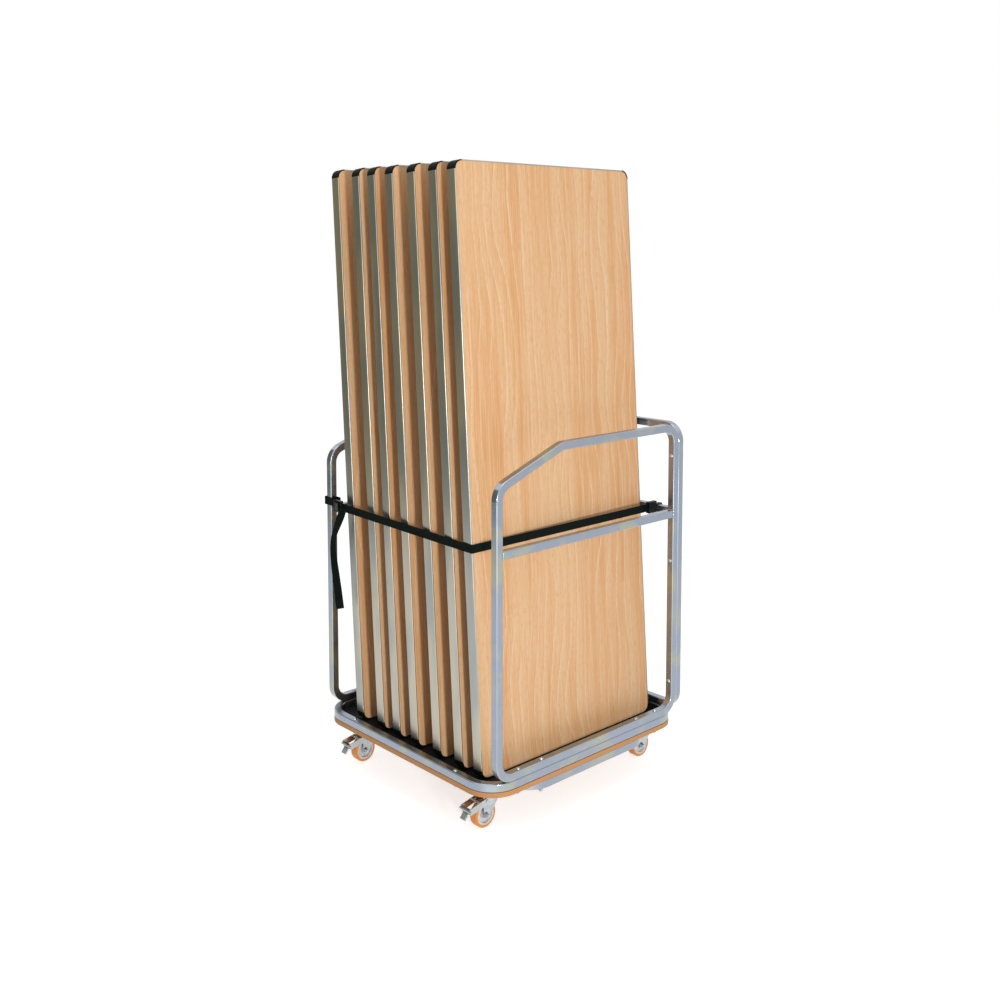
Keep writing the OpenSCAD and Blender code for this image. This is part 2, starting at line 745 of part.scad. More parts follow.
// Flat swept band: a ring of four corners at every point of the route
module strap_tail() {
    start = [strap_start.x, strap_start.y, strap_hoop_z];
    tail_points = [for (step = tail_route) start + step];
    n = len(tail_points);
    along = [for (i = [0 : n - 1]) unit(tail_points[min(i + 1, n - 1)] - tail_points[max(i - 1, 0)])];
    rings = [for (i = [0 : n - 1]) let (
        flat = unit(cross(along[i], [0, 1, 0])),
        out = cross(along[i], flat),
        wide = flat * cos(tail_twists[i]) + out * sin(tail_twists[i]),
        thick = cross(along[i], wide)
    ) [for (c = [[-1, -1], [1, -1], [1, 1], [-1, 1]])
        tail_points[i] + wide * c.x * strap_w / 2 + thick * c.y * strap_t / 2]];
    sides = [for (i = [0 : n - 2], k = [0 : 3], half = [0, 1]) let (
        a = 4 * i + k,
        b = 4 * i + (k + 1) % 4
    ) half == 0 ? [a, b, b + 4] : [a, b + 4, a + 4]];
    last = 4 * (n - 1);
    ends = [[0, 2, 1], [0, 3, 2], [last, last + 1, last + 2], [last, last + 2, last + 3]];
    outward = [for (f = concat(sides, ends)) [f[2], f[1], f[0]]];
    color([0.07, 0.09, 0.08]) polyhedron(points = [for (r = rings) each r], faces = outward);
}

// Cam buckle: a slotted block on the front run with its lever in front
module cam_buckle() {
    run = unit(front_touch - strap_start);
    slope = (strap_table_z - strap_hoop_z) / norm(front_touch - strap_start);
    far_end = strap_start + run * (buckle_l + overrun);
    near_end = strap_start - run * overrun;
    color([0.1, 0.1, 0.1]) {
        difference() {
            translate([strap_start.x, strap_start.y, strap_hoop_z]) rotate(heading(run))
                translate([buckle_l / 2, 0, -buckle_h / 2]) linear_extrude(buckle_h)
                    rounded_rect([buckle_l, buckle_t], buckle_corner_r);
            strap_run(near_end, far_end, strap_hoop_z - slope * overrun,
                strap_hoop_z + slope * (buckle_l + overrun),
                strap_w + 2 * slot_gap, strap_t + 2 * slot_gap);
        }
        translate([strap_start.x, strap_start.y, strap_hoop_z - strap_w / 2]) rotate(heading(run)) {
            translate([lever_pin_d, -buckle_t / 2, 0]) cylinder(d = lever_pin_d, h = strap_w);
            translate([lever_pin_d, -buckle_t / 2 - lever_t / 2, 0]) rotate(-lever_angle)
                translate([0, -lever_t / 2, 0]) cube([lever_l, lever_t, strap_w]);
        }
    }
}

// Clip on the rear middle rail: a slotted block and a hook over the rail
module strap_clip() {
    face_y = end_y - tube_w / 2 - clip_gap;
    rail_high = mid_rail_z + tube_w / 2 + clip_gap;
    run = unit(strap_finish - side_touch);
    slope = (strap_rear_z - strap_table_z) / norm(strap_finish - side_touch);
    mouth = strap_finish - run * clip_l;
    color([0.1, 0.1, 0.1]) {
        difference() {
            translate([strap_finish.x - clip_t / 2, face_y - clip_l, strap_rear_z - clip_h / 2])
                cube([clip_t, clip_l, clip_h]);
            strap_run(mouth, strap_finish + run * slot_gap, strap_rear_z - slope * clip_l,
                strap_rear_z + slope * slot_gap, strap_w + 2 * slot_gap, strap_t + 2 * slot_gap);
        }
        translate([strap_finish.x - clip_t / 2, face_y - clip_hook_t, rail_high])
            cube([clip_t, tube_w + 2 * (clip_gap + clip_hook_t), clip_hook_t]);
        translate([strap_finish.x - clip_t / 2, face_y + tube_w + 2 * clip_gap, rail_high - clip_hook_drop])
            cube([clip_t, clip_hook_t, clip_hook_drop]);
    }
}

base_board();
base_mat();
base_rim();
under_frame();
side_hoop(1);  // right_hoop
side_hoop(-1);  // left_hoop
rear_hoop();
frame_bolts();
frame_nuts();
castor_plates();
for (i = [0 : len(castor_names) - 1]) {
    castor_fork(i);
    castor_axle(i);
    castor_hub(i);
    castor_tyre(i);
}
castor_brake(0);  // front_right_brake
castor_brake(1);  // front_left_brake
strap_band();
strap_tail();
cam_buckle();
strap_clip();
for (i = [0 : table_count - 1]) {
    table_top(i);
    table_edging(i);
    table_caps(i);
    table_legs(i);
}
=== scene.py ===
from math import atan, cos, pi, radians, sin

import bpy
import numpy as np
from bpy.props import FloatProperty, FloatVectorProperty, IntProperty, PointerProperty
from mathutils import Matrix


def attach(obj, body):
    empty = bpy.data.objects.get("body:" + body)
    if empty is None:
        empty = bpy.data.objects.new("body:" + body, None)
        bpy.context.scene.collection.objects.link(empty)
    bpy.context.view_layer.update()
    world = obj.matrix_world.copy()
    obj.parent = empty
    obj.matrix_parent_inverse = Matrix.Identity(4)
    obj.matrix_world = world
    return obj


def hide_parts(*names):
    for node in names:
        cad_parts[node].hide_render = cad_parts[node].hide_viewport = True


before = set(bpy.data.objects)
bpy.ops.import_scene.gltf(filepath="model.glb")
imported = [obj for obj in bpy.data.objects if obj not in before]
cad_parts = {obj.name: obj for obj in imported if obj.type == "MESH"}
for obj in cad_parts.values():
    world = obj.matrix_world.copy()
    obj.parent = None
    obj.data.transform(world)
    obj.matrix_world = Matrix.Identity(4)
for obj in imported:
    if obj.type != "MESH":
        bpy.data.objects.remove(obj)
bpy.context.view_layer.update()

bl_info = {
    "name": "Banquet table trolley",
    "version": (1, 0, 0),
    "blender": (4, 5, 0),
    "location": "View3D > Sidebar > Trolley",
    "description": "Dresses the packed trolley: finishes, webbing, bolts, edging, small trim and stage",
    "category": "Object",
}

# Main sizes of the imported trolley, in metres
TUBE = 0.025
SIDE_X = 0.41
END_Y = 0.42
HOOP_Y = 0.395
RAIL_Z = 0.85
DECK_Z = 0.135
HOOP_FOOT = 0.175
HOOP_H = 0.975
RAIL_TOP = 0.2
CASTORS = {
    "front_right": (0.3025, -0.3275), "front_left": (-0.3025, -0.3275),
    "rear_right": (0.3025, 0.3835), "rear_left": (-0.3025, 0.3835),
}
TRAIL = 0.027
FACE_X = [-0.259011, -0.14628, -0.062964, 0.029654, 0.138887, 0.242316, 0.328971]
LEAN = atan(64.0739 / 997)
FOOT_Z = 0.155609
TABLE_L = 1.83
TABLE_W = 0.762
TABLE_CORNER = 0.028
LEG_Y = 0.29
LEG_P = 0.057516
BRACKET_P = 0.022
BRACKET_UP = 0.174
CROSSBAR_UP = 0.65

# Fasteners
RING_BOLT_Y = 0.216
RAIL_BOLT_Y = 0.312
FRONT_BOLT_X = 0.255
REAR_BOLT_X = 0.225
UPRIGHT_BOLT_SHARES = (0.11, 0.53, 0.89)
PLATE_BOLT = (0.04, 0.03)
PLATE_FACE_Z = 0.131
PLATE_GRIP = 0.019
BOLT_R = 0.004
BOLT_EDGE = 0.0008
NUT_H = 0.0065
BOLT_END = 0.004
SCREW_Y = 0.026
SCREW_UP = 0.014
SCREW_H = 0.0022
SCREW_SINK = 0.0004

# Castor trim: each swivel lip's radius, height and section radius, and the ribs on the brake pads
SWIVEL_LIPS = ((0.0305, 0.1095, 0.0016), (0.0302, 0.1195, 0.0013))
BRAKE_SLOPE = radians(11)
PAD_SLOPE = radians(52)
BRAKE_PIVOT_Z = 0.0835
BRAKE_ARM = (0.068, 0.01)
RIB_SPAN = (-0.0172, -0.004)
RIB_HALF_L = 0.0096
RIB_R = 0.0011
RIB_RISE = 0.0048

# Stage: the camera is fitted to a picture of 1000 by 1000
EYE = (2.7549, -2.5528, 1.7177)
EYE_TURN = (radians(90 - 4.513), 0, radians(47.229))
EYE_SHIFT = -0.16
LIGHT_AIM = (0, 0, 0.9)
AMBIENT = 0.44
FLOOR_TONE = 0.86
FLOOR_GLOW = 0.66

# Route of the webbing, repeated from the part's source
STRAP_START = np.array([-0.3739, -0.4091, 0.87])
STRAP_EDGE = np.array([0.28544, -0.381])
EDGE_Z = 0.843
STRAP_END = np.array([0.3245, 0.3885, 0.857])
STRAP_CLEAR = 0.0006
LOOP_HALF = (0.030, 0.0141)
LOOP_X = -0.4055
LOOP_Z = 0.8775
TAIL_STEPS = np.array([
    [53.6, -3, 0], [53.1, -7, -12], [49.6, -10, -27], [41, -11, -44], [30, -11, -63], [19, -11, -82],
    [10, -11, -102], [5, -11, -124], [4, -11, -148], [7, -11, -172], [11, -11, -196], [16, -11, -220],
    [21, -11, -244], [27, -11, -270], [32, -11, -294], [37, -11, -318], [42, -11, -341]]) / 1000
TAIL_TWISTS = -np.radians([30, 34, 32, 24, 12, 4, 2, 6, 12, 19, 26, 33, 39, 44, 48, 50, 50])


def tone(red, green, blue):
    """Linear colour of an 8-bit display colour."""
    c = np.array([red, green, blue]) / 255
    return tuple(float(v) for v in np.where(c <= 0.04045, c / 12.92, ((c + 0.055) / 1.055) ** 2.4))


def colour(name, description, red, green, blue):
    """Colour property with a display colour as its default."""
    return FloatVectorProperty(name=name, description=description, default=tone(red, green, blue),
                               size=3, min=0, max=1, subtype="COLOR")


def length(name, description, default):
    """Length property in metres."""
    return FloatProperty(name=name, description=description, default=default, min=0,
                         unit="LENGTH", precision=4)


class TrolleyColours(bpy.types.PropertyGroup):
    """Colours of the trolley's finishes."""
    beech_pale: colour("Beech, pale", "Pale growth lines of the table tops", 237, 206, 168)
    beech_warm: colour("Beech, warm", "Main colour of the table tops", 228, 182, 134)
    beech_deep: colour("Beech, deep", "Darker bands of the table tops", 220, 159, 101)
    zinc_cool: colour("Zinc, cool", "Blue grey of the plated tube", 149, 159, 173)
    zinc_cream: colour("Zinc, cream", "Cream patches of the plated tube", 170, 174, 156)
    zinc_lilac: colour("Zinc, lilac", "Lilac patches of the plated tube", 156, 160, 174)
    # The edging's two tones are painted reflection laid in long stretches; the dark one also colours the
    # drawn lines
    edging_light_reflection: colour("Edging, light", "Bright stretches of the table edging", 186, 180, 164)
    edging_dark_reflection_and_lines: colour("Edging, dark", "Blue grey stretches of the table edging", 158, 162, 158)
    tyre: colour("Tyre", "Cast tyre", 240, 152, 46)
    hub: colour("Hub", "Moulded wheel hub", 222, 222, 220)
    webbing: colour("Webbing", "Woven strap", 12, 31, 22)
    thread: colour("Thread", "Stitching of the strap", 30, 44, 38)
    mat: colour("Mat", "Rubber mat on the deck", 12, 15, 16)
    ply_pale: colour("Plywood, pale", "Light plies of the deck's edge", 222, 168, 112)
    ply_deep: colour("Plywood, deep", "Dark plies of the deck's edge", 176, 118, 68)
    plastic: colour("Black plastic", "Corner pieces and leg plugs", 10, 20, 16)
    black_steel: colour("Black steel", "Buckle and clip of the strap", 26, 28, 28)
    leg_paint: colour("Leg paint", "Powder coat of the folded legs", 122, 124, 128)


class TrolleySizes(bpy.types.PropertyGroup):
    """Sizes of the small pieces."""
    strap_w: length("Webbing width", "Width of the strap", 0.026)
    strap_t: length("Webbing thickness", "Thickness of the strap", 0.002)
    fold_l: length("Folded end", "Length of the strap's sewn end", 0.036)
    thread_r: length("Thread", "Radius of the strap's sewing thread", 0.0004)
    bead_r: length("Weld bead", "Half width of a weld bead", 0.0024)
    bolt_head_w: length("Bolt head", "Width of a domed bolt head", 0.015)
    bolt_head_h: length("Bolt head height", "Height of a domed bolt head", 0.0045)
    lip_r: length("Edging lip", "Radius of the edging's rolled lip", 0.0026)
    screw_w: length("Screw head", "Width of a bracket screw's head", 0.0085)
    stave_w: length("Stave width", "Width of a stave in the beech pattern", 0.15)
    stave_l: length("Stave length", "Length of a stave in the beech pattern", 1.05)
    growth_lines: IntProperty(name="Growth lines", default=27, min=4, max=90,
                              description="Growth lines to the metre in the beech pattern")


class TrolleyStage(bpy.types.PropertyGroup):
    """Camera and light."""
    lens: FloatProperty(name="Lens", description="Focal length of the camera in millimetres",
                        default=41.126, min=10, max=200)
    key_power: FloatProperty(name="Key light", description="Power of the upright softbox in watts",
                             default=132, min=0)
    top_power: FloatProperty(name="Top light", description="Power of the softbox overhead in watts",
                             default=22, min=0)


# Meshes

def quads(rows, columns, wrap_rows=False, wrap_columns=False):
    """Quads of a grid of rows by columns, which may close on itself either way."""
    r = np.arange(rows if wrap_rows else rows - 1)
    c = np.arange(columns if wrap_columns else columns - 1)
    a, b = np.meshgrid(r, c, indexing="ij")
    a2, b2 = (a + 1) % rows, (b + 1) % columns
    corners = [a * columns + b, a2 * columns + b, a2 * columns + b2, a * columns + b2]
    return np.stack(corners, -1).reshape(-1, 4)


class Shells:
    """Gathers closed shells of points and faces, with a UV for each point, into one mesh."""

    def __init__(self):
        self.points, self.faces, self.uvs, self.count = [], [], [], 0

    def add(self, points, faces, uv=None):
        points = np.asarray(points, float).reshape(-1, 3)
        self.points.append(points)
        self.uvs.append(np.zeros((len(points), 2)) if uv is None else np.asarray(uv, float).reshape(-1, 2))
        self.faces += [[int(v) + self.count for v in f] for f in faces]
        self.count += len(points)

    def build(self, name, material):
        mesh = bpy.data.meshes.new(name)
        mesh.from_pydata(np.concatenate(self.points).tolist(), [], self.faces)
        corner = np.empty(len(mesh.loops), dtype=np.int32)
        mesh.loops.foreach_get("vertex_index", corner)
        layer = mesh.uv_layers.new(name="UVMap")
        layer.data.foreach_set("uv", np.concatenate(self.uvs)[corner].ravel().astype(np.float32))
        mesh.polygons.foreach_set("use_smooth", np.full(len(mesh.polygons), True))
        mesh.materials.append(material)
        mesh.update()
        piece = bpy.data.objects.new(name, mesh)
        bpy.context.scene.collection.objects.link(piece)
        return piece


def carried(shells, profile, spine, wide, thick, closed=False, along=None, across=None):
    """A closed profile carried along a path: each point is spine + wide * profile x + thick * profile y.

    The profile runs counter-clockwise seen against the path, so that its faces point outwards.
    """
    n, k = len(spine), len(profile)
    points = spine[:, None] + profile[None, :, :1] * wide[:, None] + profile[None, :, 1:] * thick[:, None]
    if along is None:
        along = np.r_[0, np.cumsum(np.linalg.norm(np.diff(spine, axis=0), axis=1))]
    if across is None:
        across = profile[:, 0]
    uv = np.stack(np.broadcast_arrays(across[None, :], along[:, None]), -1)
    faces = quads(n, k, closed, True)[:, ::-1].tolist()
    if not closed:
        faces += [list(range(k))[::-1], list(range((n - 1) * k, n * k))]
    shells.add(points, faces, uv)


def turned(shells, profile, centre, axis, steps):
    """A profile of radius and height turned round an axis: both its ends lie on the axis."""
    axis = np.asarray(axis, float) / np.linalg.norm(axis)
    side = np.cross(axis, [1.0, 0, 0] if abs(axis[0]) < 0.9 else [0, 1.0, 0])
    side /= np.linalg.norm(side)
    other = np.cross(axis, side)
    a = np.linspace(0, 2 * pi, steps, endpoint=False)
    ring = np.cos(a)[:, None] * side + np.sin(a)[:, None] * other
    body = profile[1:-1]
    points = centre + body[:, None, :1] * ring[None] + body[:, None, 1:] * axis
    k = len(body)
    ends = centre + profile[[0, -1], 1:] * axis
    faces = quads(k, steps, False, True).tolist()
    first, last = k * steps, k * steps + 1
    here = np.arange(steps)
    there = (here + 1) % steps
    faces += np.stack([np.full(steps, first), here, there], -1).tolist()
    faces += np.stack([np.full(steps, last), there + (k - 1) * steps, here + (k - 1) * steps], -1).tolist()
    reach = np.r_[0, np.cumsum(np.linalg.norm(np.diff(profile, axis=0), axis=1))]
    uv = np.stack(np.broadcast_arrays(a[None, :] / (2 * pi), reach[1:-1, None]), -1).reshape(-1, 2)
    uv = np.concatenate([uv, [[0, 0], [0, reach[-1]]]])
    shells.add(np.concatenate([points.reshape(-1, 3), ends]), faces, uv)


def rounded_band(width, thickness, steps=5):
    """Profile of webbing: a flat strip whose edges are half rounds, a little thicker beside the edges."""
    r = thickness / 2
    a = np.linspace(-pi / 2, pi / 2, steps)
    right = np.stack([width / 2 - r + r * np.cos(a), r * np.sin(a)], -1)
    x = np.linspace(width / 2 - 2 * r, -width / 2 + 2 * r, 7)
    top = np.stack([x, r * (0.86 + 0.14 * np.abs(x) / (width / 2))], -1)
    half = np.concatenate([right, top])
    return np.concatenate([half, -half])


def bead_loop(centre, u, v, half, radius, waves=18, steps=72, around=8):
    """Weld bead: a small ring section carried round a rounded square of the given half width.

    The square is a superellipse, and the section swells with a sine along the way, as a weld's ripples do.
    """
    a = np.linspace(0, 2 * pi, steps, endpoint=False)
    c, s = np.cos(a), np.sin(a)
    reach = half / (np.abs(c) ** 9 + np.abs(s) ** 9) ** (1 / 9)
    flat = np.stack([c, s], -1) * reach[:, None]
    step = np.roll(flat, -1, 0) - np.roll(flat, 1, 0)
    step /= np.linalg.norm(step, axis=1)[:, None]
    out2 = np.stack([step[:, 1], -step[:, 0]], -1)
    spine = centre + flat[:, :1] * u + flat[:, 1:] * v
    out = out2[:, :1] * u + out2[:, 1:] * v
    up = np.cross(u, v)
    b = np.linspace(0, 2 * pi, around, endpoint=False)
    swell = radius * (1 + 0.16 * np.sin(waves * a) + 0.08 * np.sin(5 * a + 1.3))
    points = spine[:, None] + swell[:, None, None] * (
        np.cos(b)[None, :, None] * out[:, None] + np.sin(b)[None, :, None] * up)
    uv = np.stack(np.broadcast_arrays(b[None] / (2 * pi), a[:, None] / (2 * pi)), -1)
    return points, quads(steps, around, True, True).tolist(), uv


def smooth_path(points, per_span=6):
    """Catmull-Rom curve through the points: each span is a cubic in the four points round it."""
    p = np.concatenate([2 * points[:1] - points[1:2], points, 2 * points[-1:] - points[-2:-1]])
    t = np.linspace(0, 1, per_span, endpoint=False)[None, :, None]
    a, b, c, d = p[:-3, None], p[1:-2, None], p[2:-1, None], p[3:, None]
    curve = 0.5 * (2 * b + (c - a) * t + (2 * a - 5 * b + 4 * c - d) * t ** 2
                   + (3 * b - a - 3 * c + d) * t ** 3)
    return np.concatenate([curve.reshape(-1, points.shape[1]), points[-1:]])


def table_place(i, p, y, up):
    """Point of table i that lies p behind its face, at y across, and up along its length from its foot."""
    return np.array([FACE_X[i] - p * cos(LEAN) - up * sin(LEAN), y, FOOT_Z - p * sin(LEAN) + up * cos(LEAN)])


TABLE_BACK = np.array([-cos(LEAN), 0, -sin(LEAN)])
TABLE_UP = np.array([-sin(LEAN), 0, cos(LEAN)])
ACROSS = np.array([0, 1.0, 0])


# Finishes

class Nodes:
    """Writes nodes into a tree. An input named i and a number is that socket, and _ stands for a space."""

    def __init__(self, owner):
        owner.use_nodes = True
        self.tree = owner.node_tree
        self.tree.nodes.clear()

    def node(self, kind, settings=None, **inputs):
        node = self.tree.nodes.new("ShaderNode" + kind)
        for key, value in (settings or {}).items():
            setattr(node, key, value)
        for key, value in inputs.items():
            numbered = key[0] == "i" and key[1:].isdigit()
            socket = node.inputs[int(key[1:]) if numbered else key.replace("_", " ")]
            if isinstance(value, bpy.types.NodeSocket):
                self.tree.links.new(value, socket)
            else:
                socket.default_value = value
        return node

    def math(self, operation, a, b=0.0, c=0.0):
        return self.node("Math", {"operation": operation}, i0=a, i1=b, i2=c).outputs[0]


class Finish(Nodes):
    """A node material that is written from its shader backwards."""

    def __init__(self, name, **constants):
        self.material = bpy.data.materials.get(name) or bpy.data.materials.new(name)
        super().__init__(self.material)
        self.shader = self.node("BsdfPrincipled", **constants)
        self.node("OutputMaterial", Surface=self.shader.outputs["BSDF"])
        self.coords = self.node("TexCoord")

    def place(self, source="Object", scale=(1, 1, 1), turn=(0, 0, 0), shift=(0, 0, 0)):
        return self.node("Mapping", Vector=self.coords.outputs[source], Scale=scale, Rotation=turn,
                         Location=shift).outputs["Vector"]

    def noise(self, vector, scale, detail=2.0, roughness=0.5, distortion=0.0):
        return self.node("TexNoise", Vector=vector, Scale=scale, Detail=detail, Roughness=roughness,
                         Distortion=distortion).outputs["Fac"]

    def ramp(self, fac, stops, ease="EASE"):
        node = self.node("ValToRGB", Fac=fac)
        node.color_ramp.interpolation = ease
        spots = node.color_ramp.elements
        while len(spots) < len(stops):
            spots.new(0.5)
        for spot, (at, value) in zip(spots, stops):
            spot.position = at
            spot.color = (value, value, value, 1)
        return node.outputs["Color"]

    def mix(self, fac, a, b):
        a, b = (v if isinstance(v, bpy.types.NodeSocket) else (*v, 1) for v in (a, b))
        return self.node("Mix", {"data_type": "RGBA"}, i0=fac, i6=a, i7=b).outputs[2]

    def span(self, value, low, high):
        return self.node("MapRange", Value=value, i3=low, i4=high).outputs[0]

    def bump(self, height, strength, distance):
        return self.node("Bump", Height=height, Strength=strength, Distance=distance).outputs["Normal"]

    def drive(self, **sockets):
        for socket, value in sockets.items():
            self.tree.links.new(value, self.shader.inputs[socket.replace("_", " ")])
        return self.material


def beech_laminate(tones, sizes):
    """Beech decor laminate: staves, growth lines that sway along the table, fine fibres and short flecks."""
    f = Finish("Beech laminate", IOR=1.45, Coat_Weight=0.12, Coat_Roughness=0.25)
    vector = f.place(turn=(0, LEAN, 0))
    axes = f.node("SeparateXYZ", Vector=vector)
    x, y, z = axes.outputs
    flat = f.node("CombineXYZ", X=z, Y=f.math("MULTIPLY_ADD", x, 3.7, y)).outputs[0]
    stave = f.node("TexBrick", {"offset": 0.43, "offset_frequency": 2}, Vector=flat, Color1=(0, 0, 0, 1),
                   Color2=(1, 1, 1, 1), Scale=1.0, Mortar_Size=0.0, Brick_Width=sizes.stave_l,
                   Row_Height=sizes.stave_w).outputs["Color"]
    seed = f.math("MULTIPLY_ADD", stave, 0.22, f.math("MULTIPLY", x, 9.0))

    def stretched(across, along):
        return f.node("CombineXYZ", X=seed, Y=f.math("MULTIPLY", y, across),
                      Z=f.math("MULTIPLY", z, along)).outputs[0]

    wobble = f.noise(stretched(26.0, 5.0), 1.0, 1.0)
    sway = f.noise(stretched(4.2, 1.9), 1.0, 1.4, 0.4)
    rings = f.math("MULTIPLY_ADD", sway, 0.17, f.math("MULTIPLY_ADD", wobble, 0.003, y))
    phase = f.math("FRACT", f.math("MULTIPLY", rings, float(sizes.growth_lines)))
    line = f.ramp(phase, [(0.0, 0.15), (0.035, 1.0), (0.09, 0.3), (0.35, 0.0)])
    late = f.ramp(phase, [(0.6, 0.0), (0.99, 0.45)])
    fade = f.ramp(f.noise(stretched(13.0, 1.6), 1.0, 1.0), [(0.36, 0.15), (0.58, 1.0)])
    drift = f.noise(stretched(15.0, 0.6), 1.0, 2.0, 0.55)
    fibre = f.noise(stretched(240.0, 5.0), 1.0, 3.0, 0.6)
    pore = f.noise(stretched(230.0, 46.0), 1.0, 2.0, 0.7)
    band = f.ramp(f.math("MULTIPLY_ADD", stave, 0.1, drift), [(0.4, 0.0), (0.66, 1.0)])
    base = f.mix(band, tones.beech_deep, tones.beech_warm)
    base = f.mix(f.math("MULTIPLY", late, fade), base, tones.beech_deep)
    base = f.mix(f.ramp(fibre, [(0.36, 0.0), (0.7, 0.5)]), base, tones.beech_pale)
    base = f.mix(f.math("MULTIPLY", line, fade), base, tones.beech_pale)
    base = f.mix(f.ramp(pore, [(0.5, 0.0), (0.66, 0.5)]), base, tones.beech_deep)
    rough = f.span(fibre, 0.36, 0.5)
    normal = f.bump(f.math("ADD", fibre, pore), 0.08, 0.0006)
    return f.drive(Base_Color=base, Roughness=rough, Normal=normal)


def plated_tube(tones):
    """Zinc-plated tube: blue grey with cream and lilac clouds and faint scuffs, with a painted highlight and
    a lower roughness where its normal leans off the axes, at bends, rounded edges and weld beads.
    """
    f = Finish("Zinc-plated tube", Metallic=1.0)
    vector = f.place()
    cloud = f.noise(vector, 11.0, 3.0, 0.5, 0.4)
    tint = f.noise(f.place(shift=(3.1, 1.7, 0.4)), 6.0, 2.0)
    fine = f.noise(vector, 130.0, 2.0)
    base = f.mix(f.ramp(cloud, [(0.48, 0.0), (0.72, 0.9)]), tones.zinc_cool, tones.zinc_cream)
    base = f.mix(f.ramp(tint, [(0.46, 0.0), (0.74, 0.8)]), base, tones.zinc_lilac)
    base = f.mix(f.math("MULTIPLY", f.ramp(fine, [(0.55, 0.0), (0.75, 1.0)]), 0.2), base, (0.3, 0.34, 0.38))
    rough = f.span(f.math("ADD", cloud, f.math("MULTIPLY", fine, 0.3)), 0.16, 0.36)
    facing = f.node("SeparateXYZ", Vector=f.node("VectorMath", {"operation": "ABSOLUTE"},
                                                 i0=f.coords.outputs["Normal"]).outputs[0])
    square = f.math("MAXIMUM", f.math("MAXIMUM", facing.outputs[0], facing.outputs[1]), facing.outputs[2])
    # Painted highlight: the colour is lightened where the normal leans off the axes, at bends, rounded edges
    # and weld beads
    bend_highlight = f.ramp(square, [(0.78, 1.0), (0.93, 0.0)], "LINEAR")
    base = f.mix(f.math("MULTIPLY", bend_highlight, 0.6), base, (0.5, 0.55, 0.6))
    rough = f.node("Mix", Factor=bend_highlight, A=rough, B=0.08).outputs[0]
    return f.drive(Base_Color=base, Roughness=rough, Normal=f.bump(fine, 0.05, 0.0004))


def bright_zinc(tones):
    """Bright zinc of castors: clear, with darker water marks and small dull spots."""
    f = Finish("Bright zinc", Metallic=1.0)
    vector = f.place()
    marks = f.noise(vector, 60.0, 3.0, 0.6, 0.8)
    spots = f.noise(vector, 240.0, 1.0)
    base = f.mix(f.ramp(marks, [(0.42, 0.0), (0.66, 1.0)]), (0.46, 0.51, 0.53), (0.56, 0.61, 0.63))
    base = f.mix(f.math("MULTIPLY", f.ramp(spots, [(0.6, 0.0), (0.72, 1.0)]), 0.3), base, tones.zinc_cool)
    return f.drive(Base_Color=base, Roughness=f.span(marks, 0.12, 0.34), Normal=f.bump(spots, 0.06, 0.0003))


def satin_edging(tones):
    """Anodised edging: long soft stretches of painted light and blue grey reflection, under fine lines drawn
    along its length.
    """
    f = Finish("Satin edging", Metallic=1.0, Anisotropic=0.3)
    # Painted reflection: long soft stretches between the light and the blue grey tone
    reflection_stretch = f.noise(f.place(scale=(5, 2, 1.5), turn=(0, LEAN, 0)), 1.6, 2.0)
    draw = f.noise(f.place("UV", scale=(900, 9, 1)), 1.0, 2.0)
    base = f.mix(f.ramp(reflection_stretch, [(0.4, 0.0), (0.6, 1.0)]), tones.edging_dark_reflection_and_lines, tones.edging_light_reflection)
    base = f.mix(f.math("MULTIPLY", draw, 0.3), base, tones.edging_dark_reflection_and_lines)
    return f.drive(Base_Color=base, Roughness=f.span(draw, 0.26, 0.42), Normal=f.bump(draw, 0.08, 0.0004))


def plywood_edge(tones):
    """Birch plywood: plies stacked in height, end grain and long grain in turn, with a sanded nap."""
    f = Finish("Plywood", IOR=1.4)
    vector = f.place()
    wander = f.noise(f.place(scale=(6, 6, 1)), 1.0, 2.0)
    z = f.node("SeparateXYZ", Vector=vector).outputs["Z"]
    height = f.math("ADD", z, f.math("MULTIPLY", wander, 0.0008))
    ply = f.math("FRACT", f.math("MULTIPLY", height, 1 / 0.0043))
    layer = f.ramp(ply, [(0.0, 0.2), (0.12, 0.9), (0.5, 1.0), (0.62, 0.35), (0.92, 0.2)])
    grain = f.noise(f.place(scale=(120, 120, 900)), 1.0, 3.0)
    base = f.mix(layer, tones.ply_deep, tones.ply_pale)
    base = f.mix(f.math("MULTIPLY", grain, 0.36), base, tones.ply_deep)
    return f.drive(Base_Color=base, Roughness=f.span(grain, 0.5, 0.72), Normal=f.bump(grain, 0.2, 0.0005))


def ribbed_mat(tones):
    """Rubber mat: fine ribs along the deck, with patches of dust."""
    f = Finish("Rubber mat", Specular_IOR_Level=0.2)
    vector = f.place()
    rib = f.node("TexWave", {"wave_type": "BANDS", "bands_direction": "X", "wave_profile": "SIN"},
                 Vector=vector, Scale=48.0, Distortion=0.0).outputs["Fac"]
    dust = f.noise(vector, 22.0, 4.0, 0.65)
    base = f.mix(f.math("MULTIPLY", f.ramp(dust, [(0.5, 0.0), (0.8, 1.0)]), 0.3), tones.mat, tone(70, 70, 70))
    return f.drive(Base_Color=base, Roughness=f.span(dust, 0.5, 0.8), Normal=f.bump(rib, 0.5, 0.001))


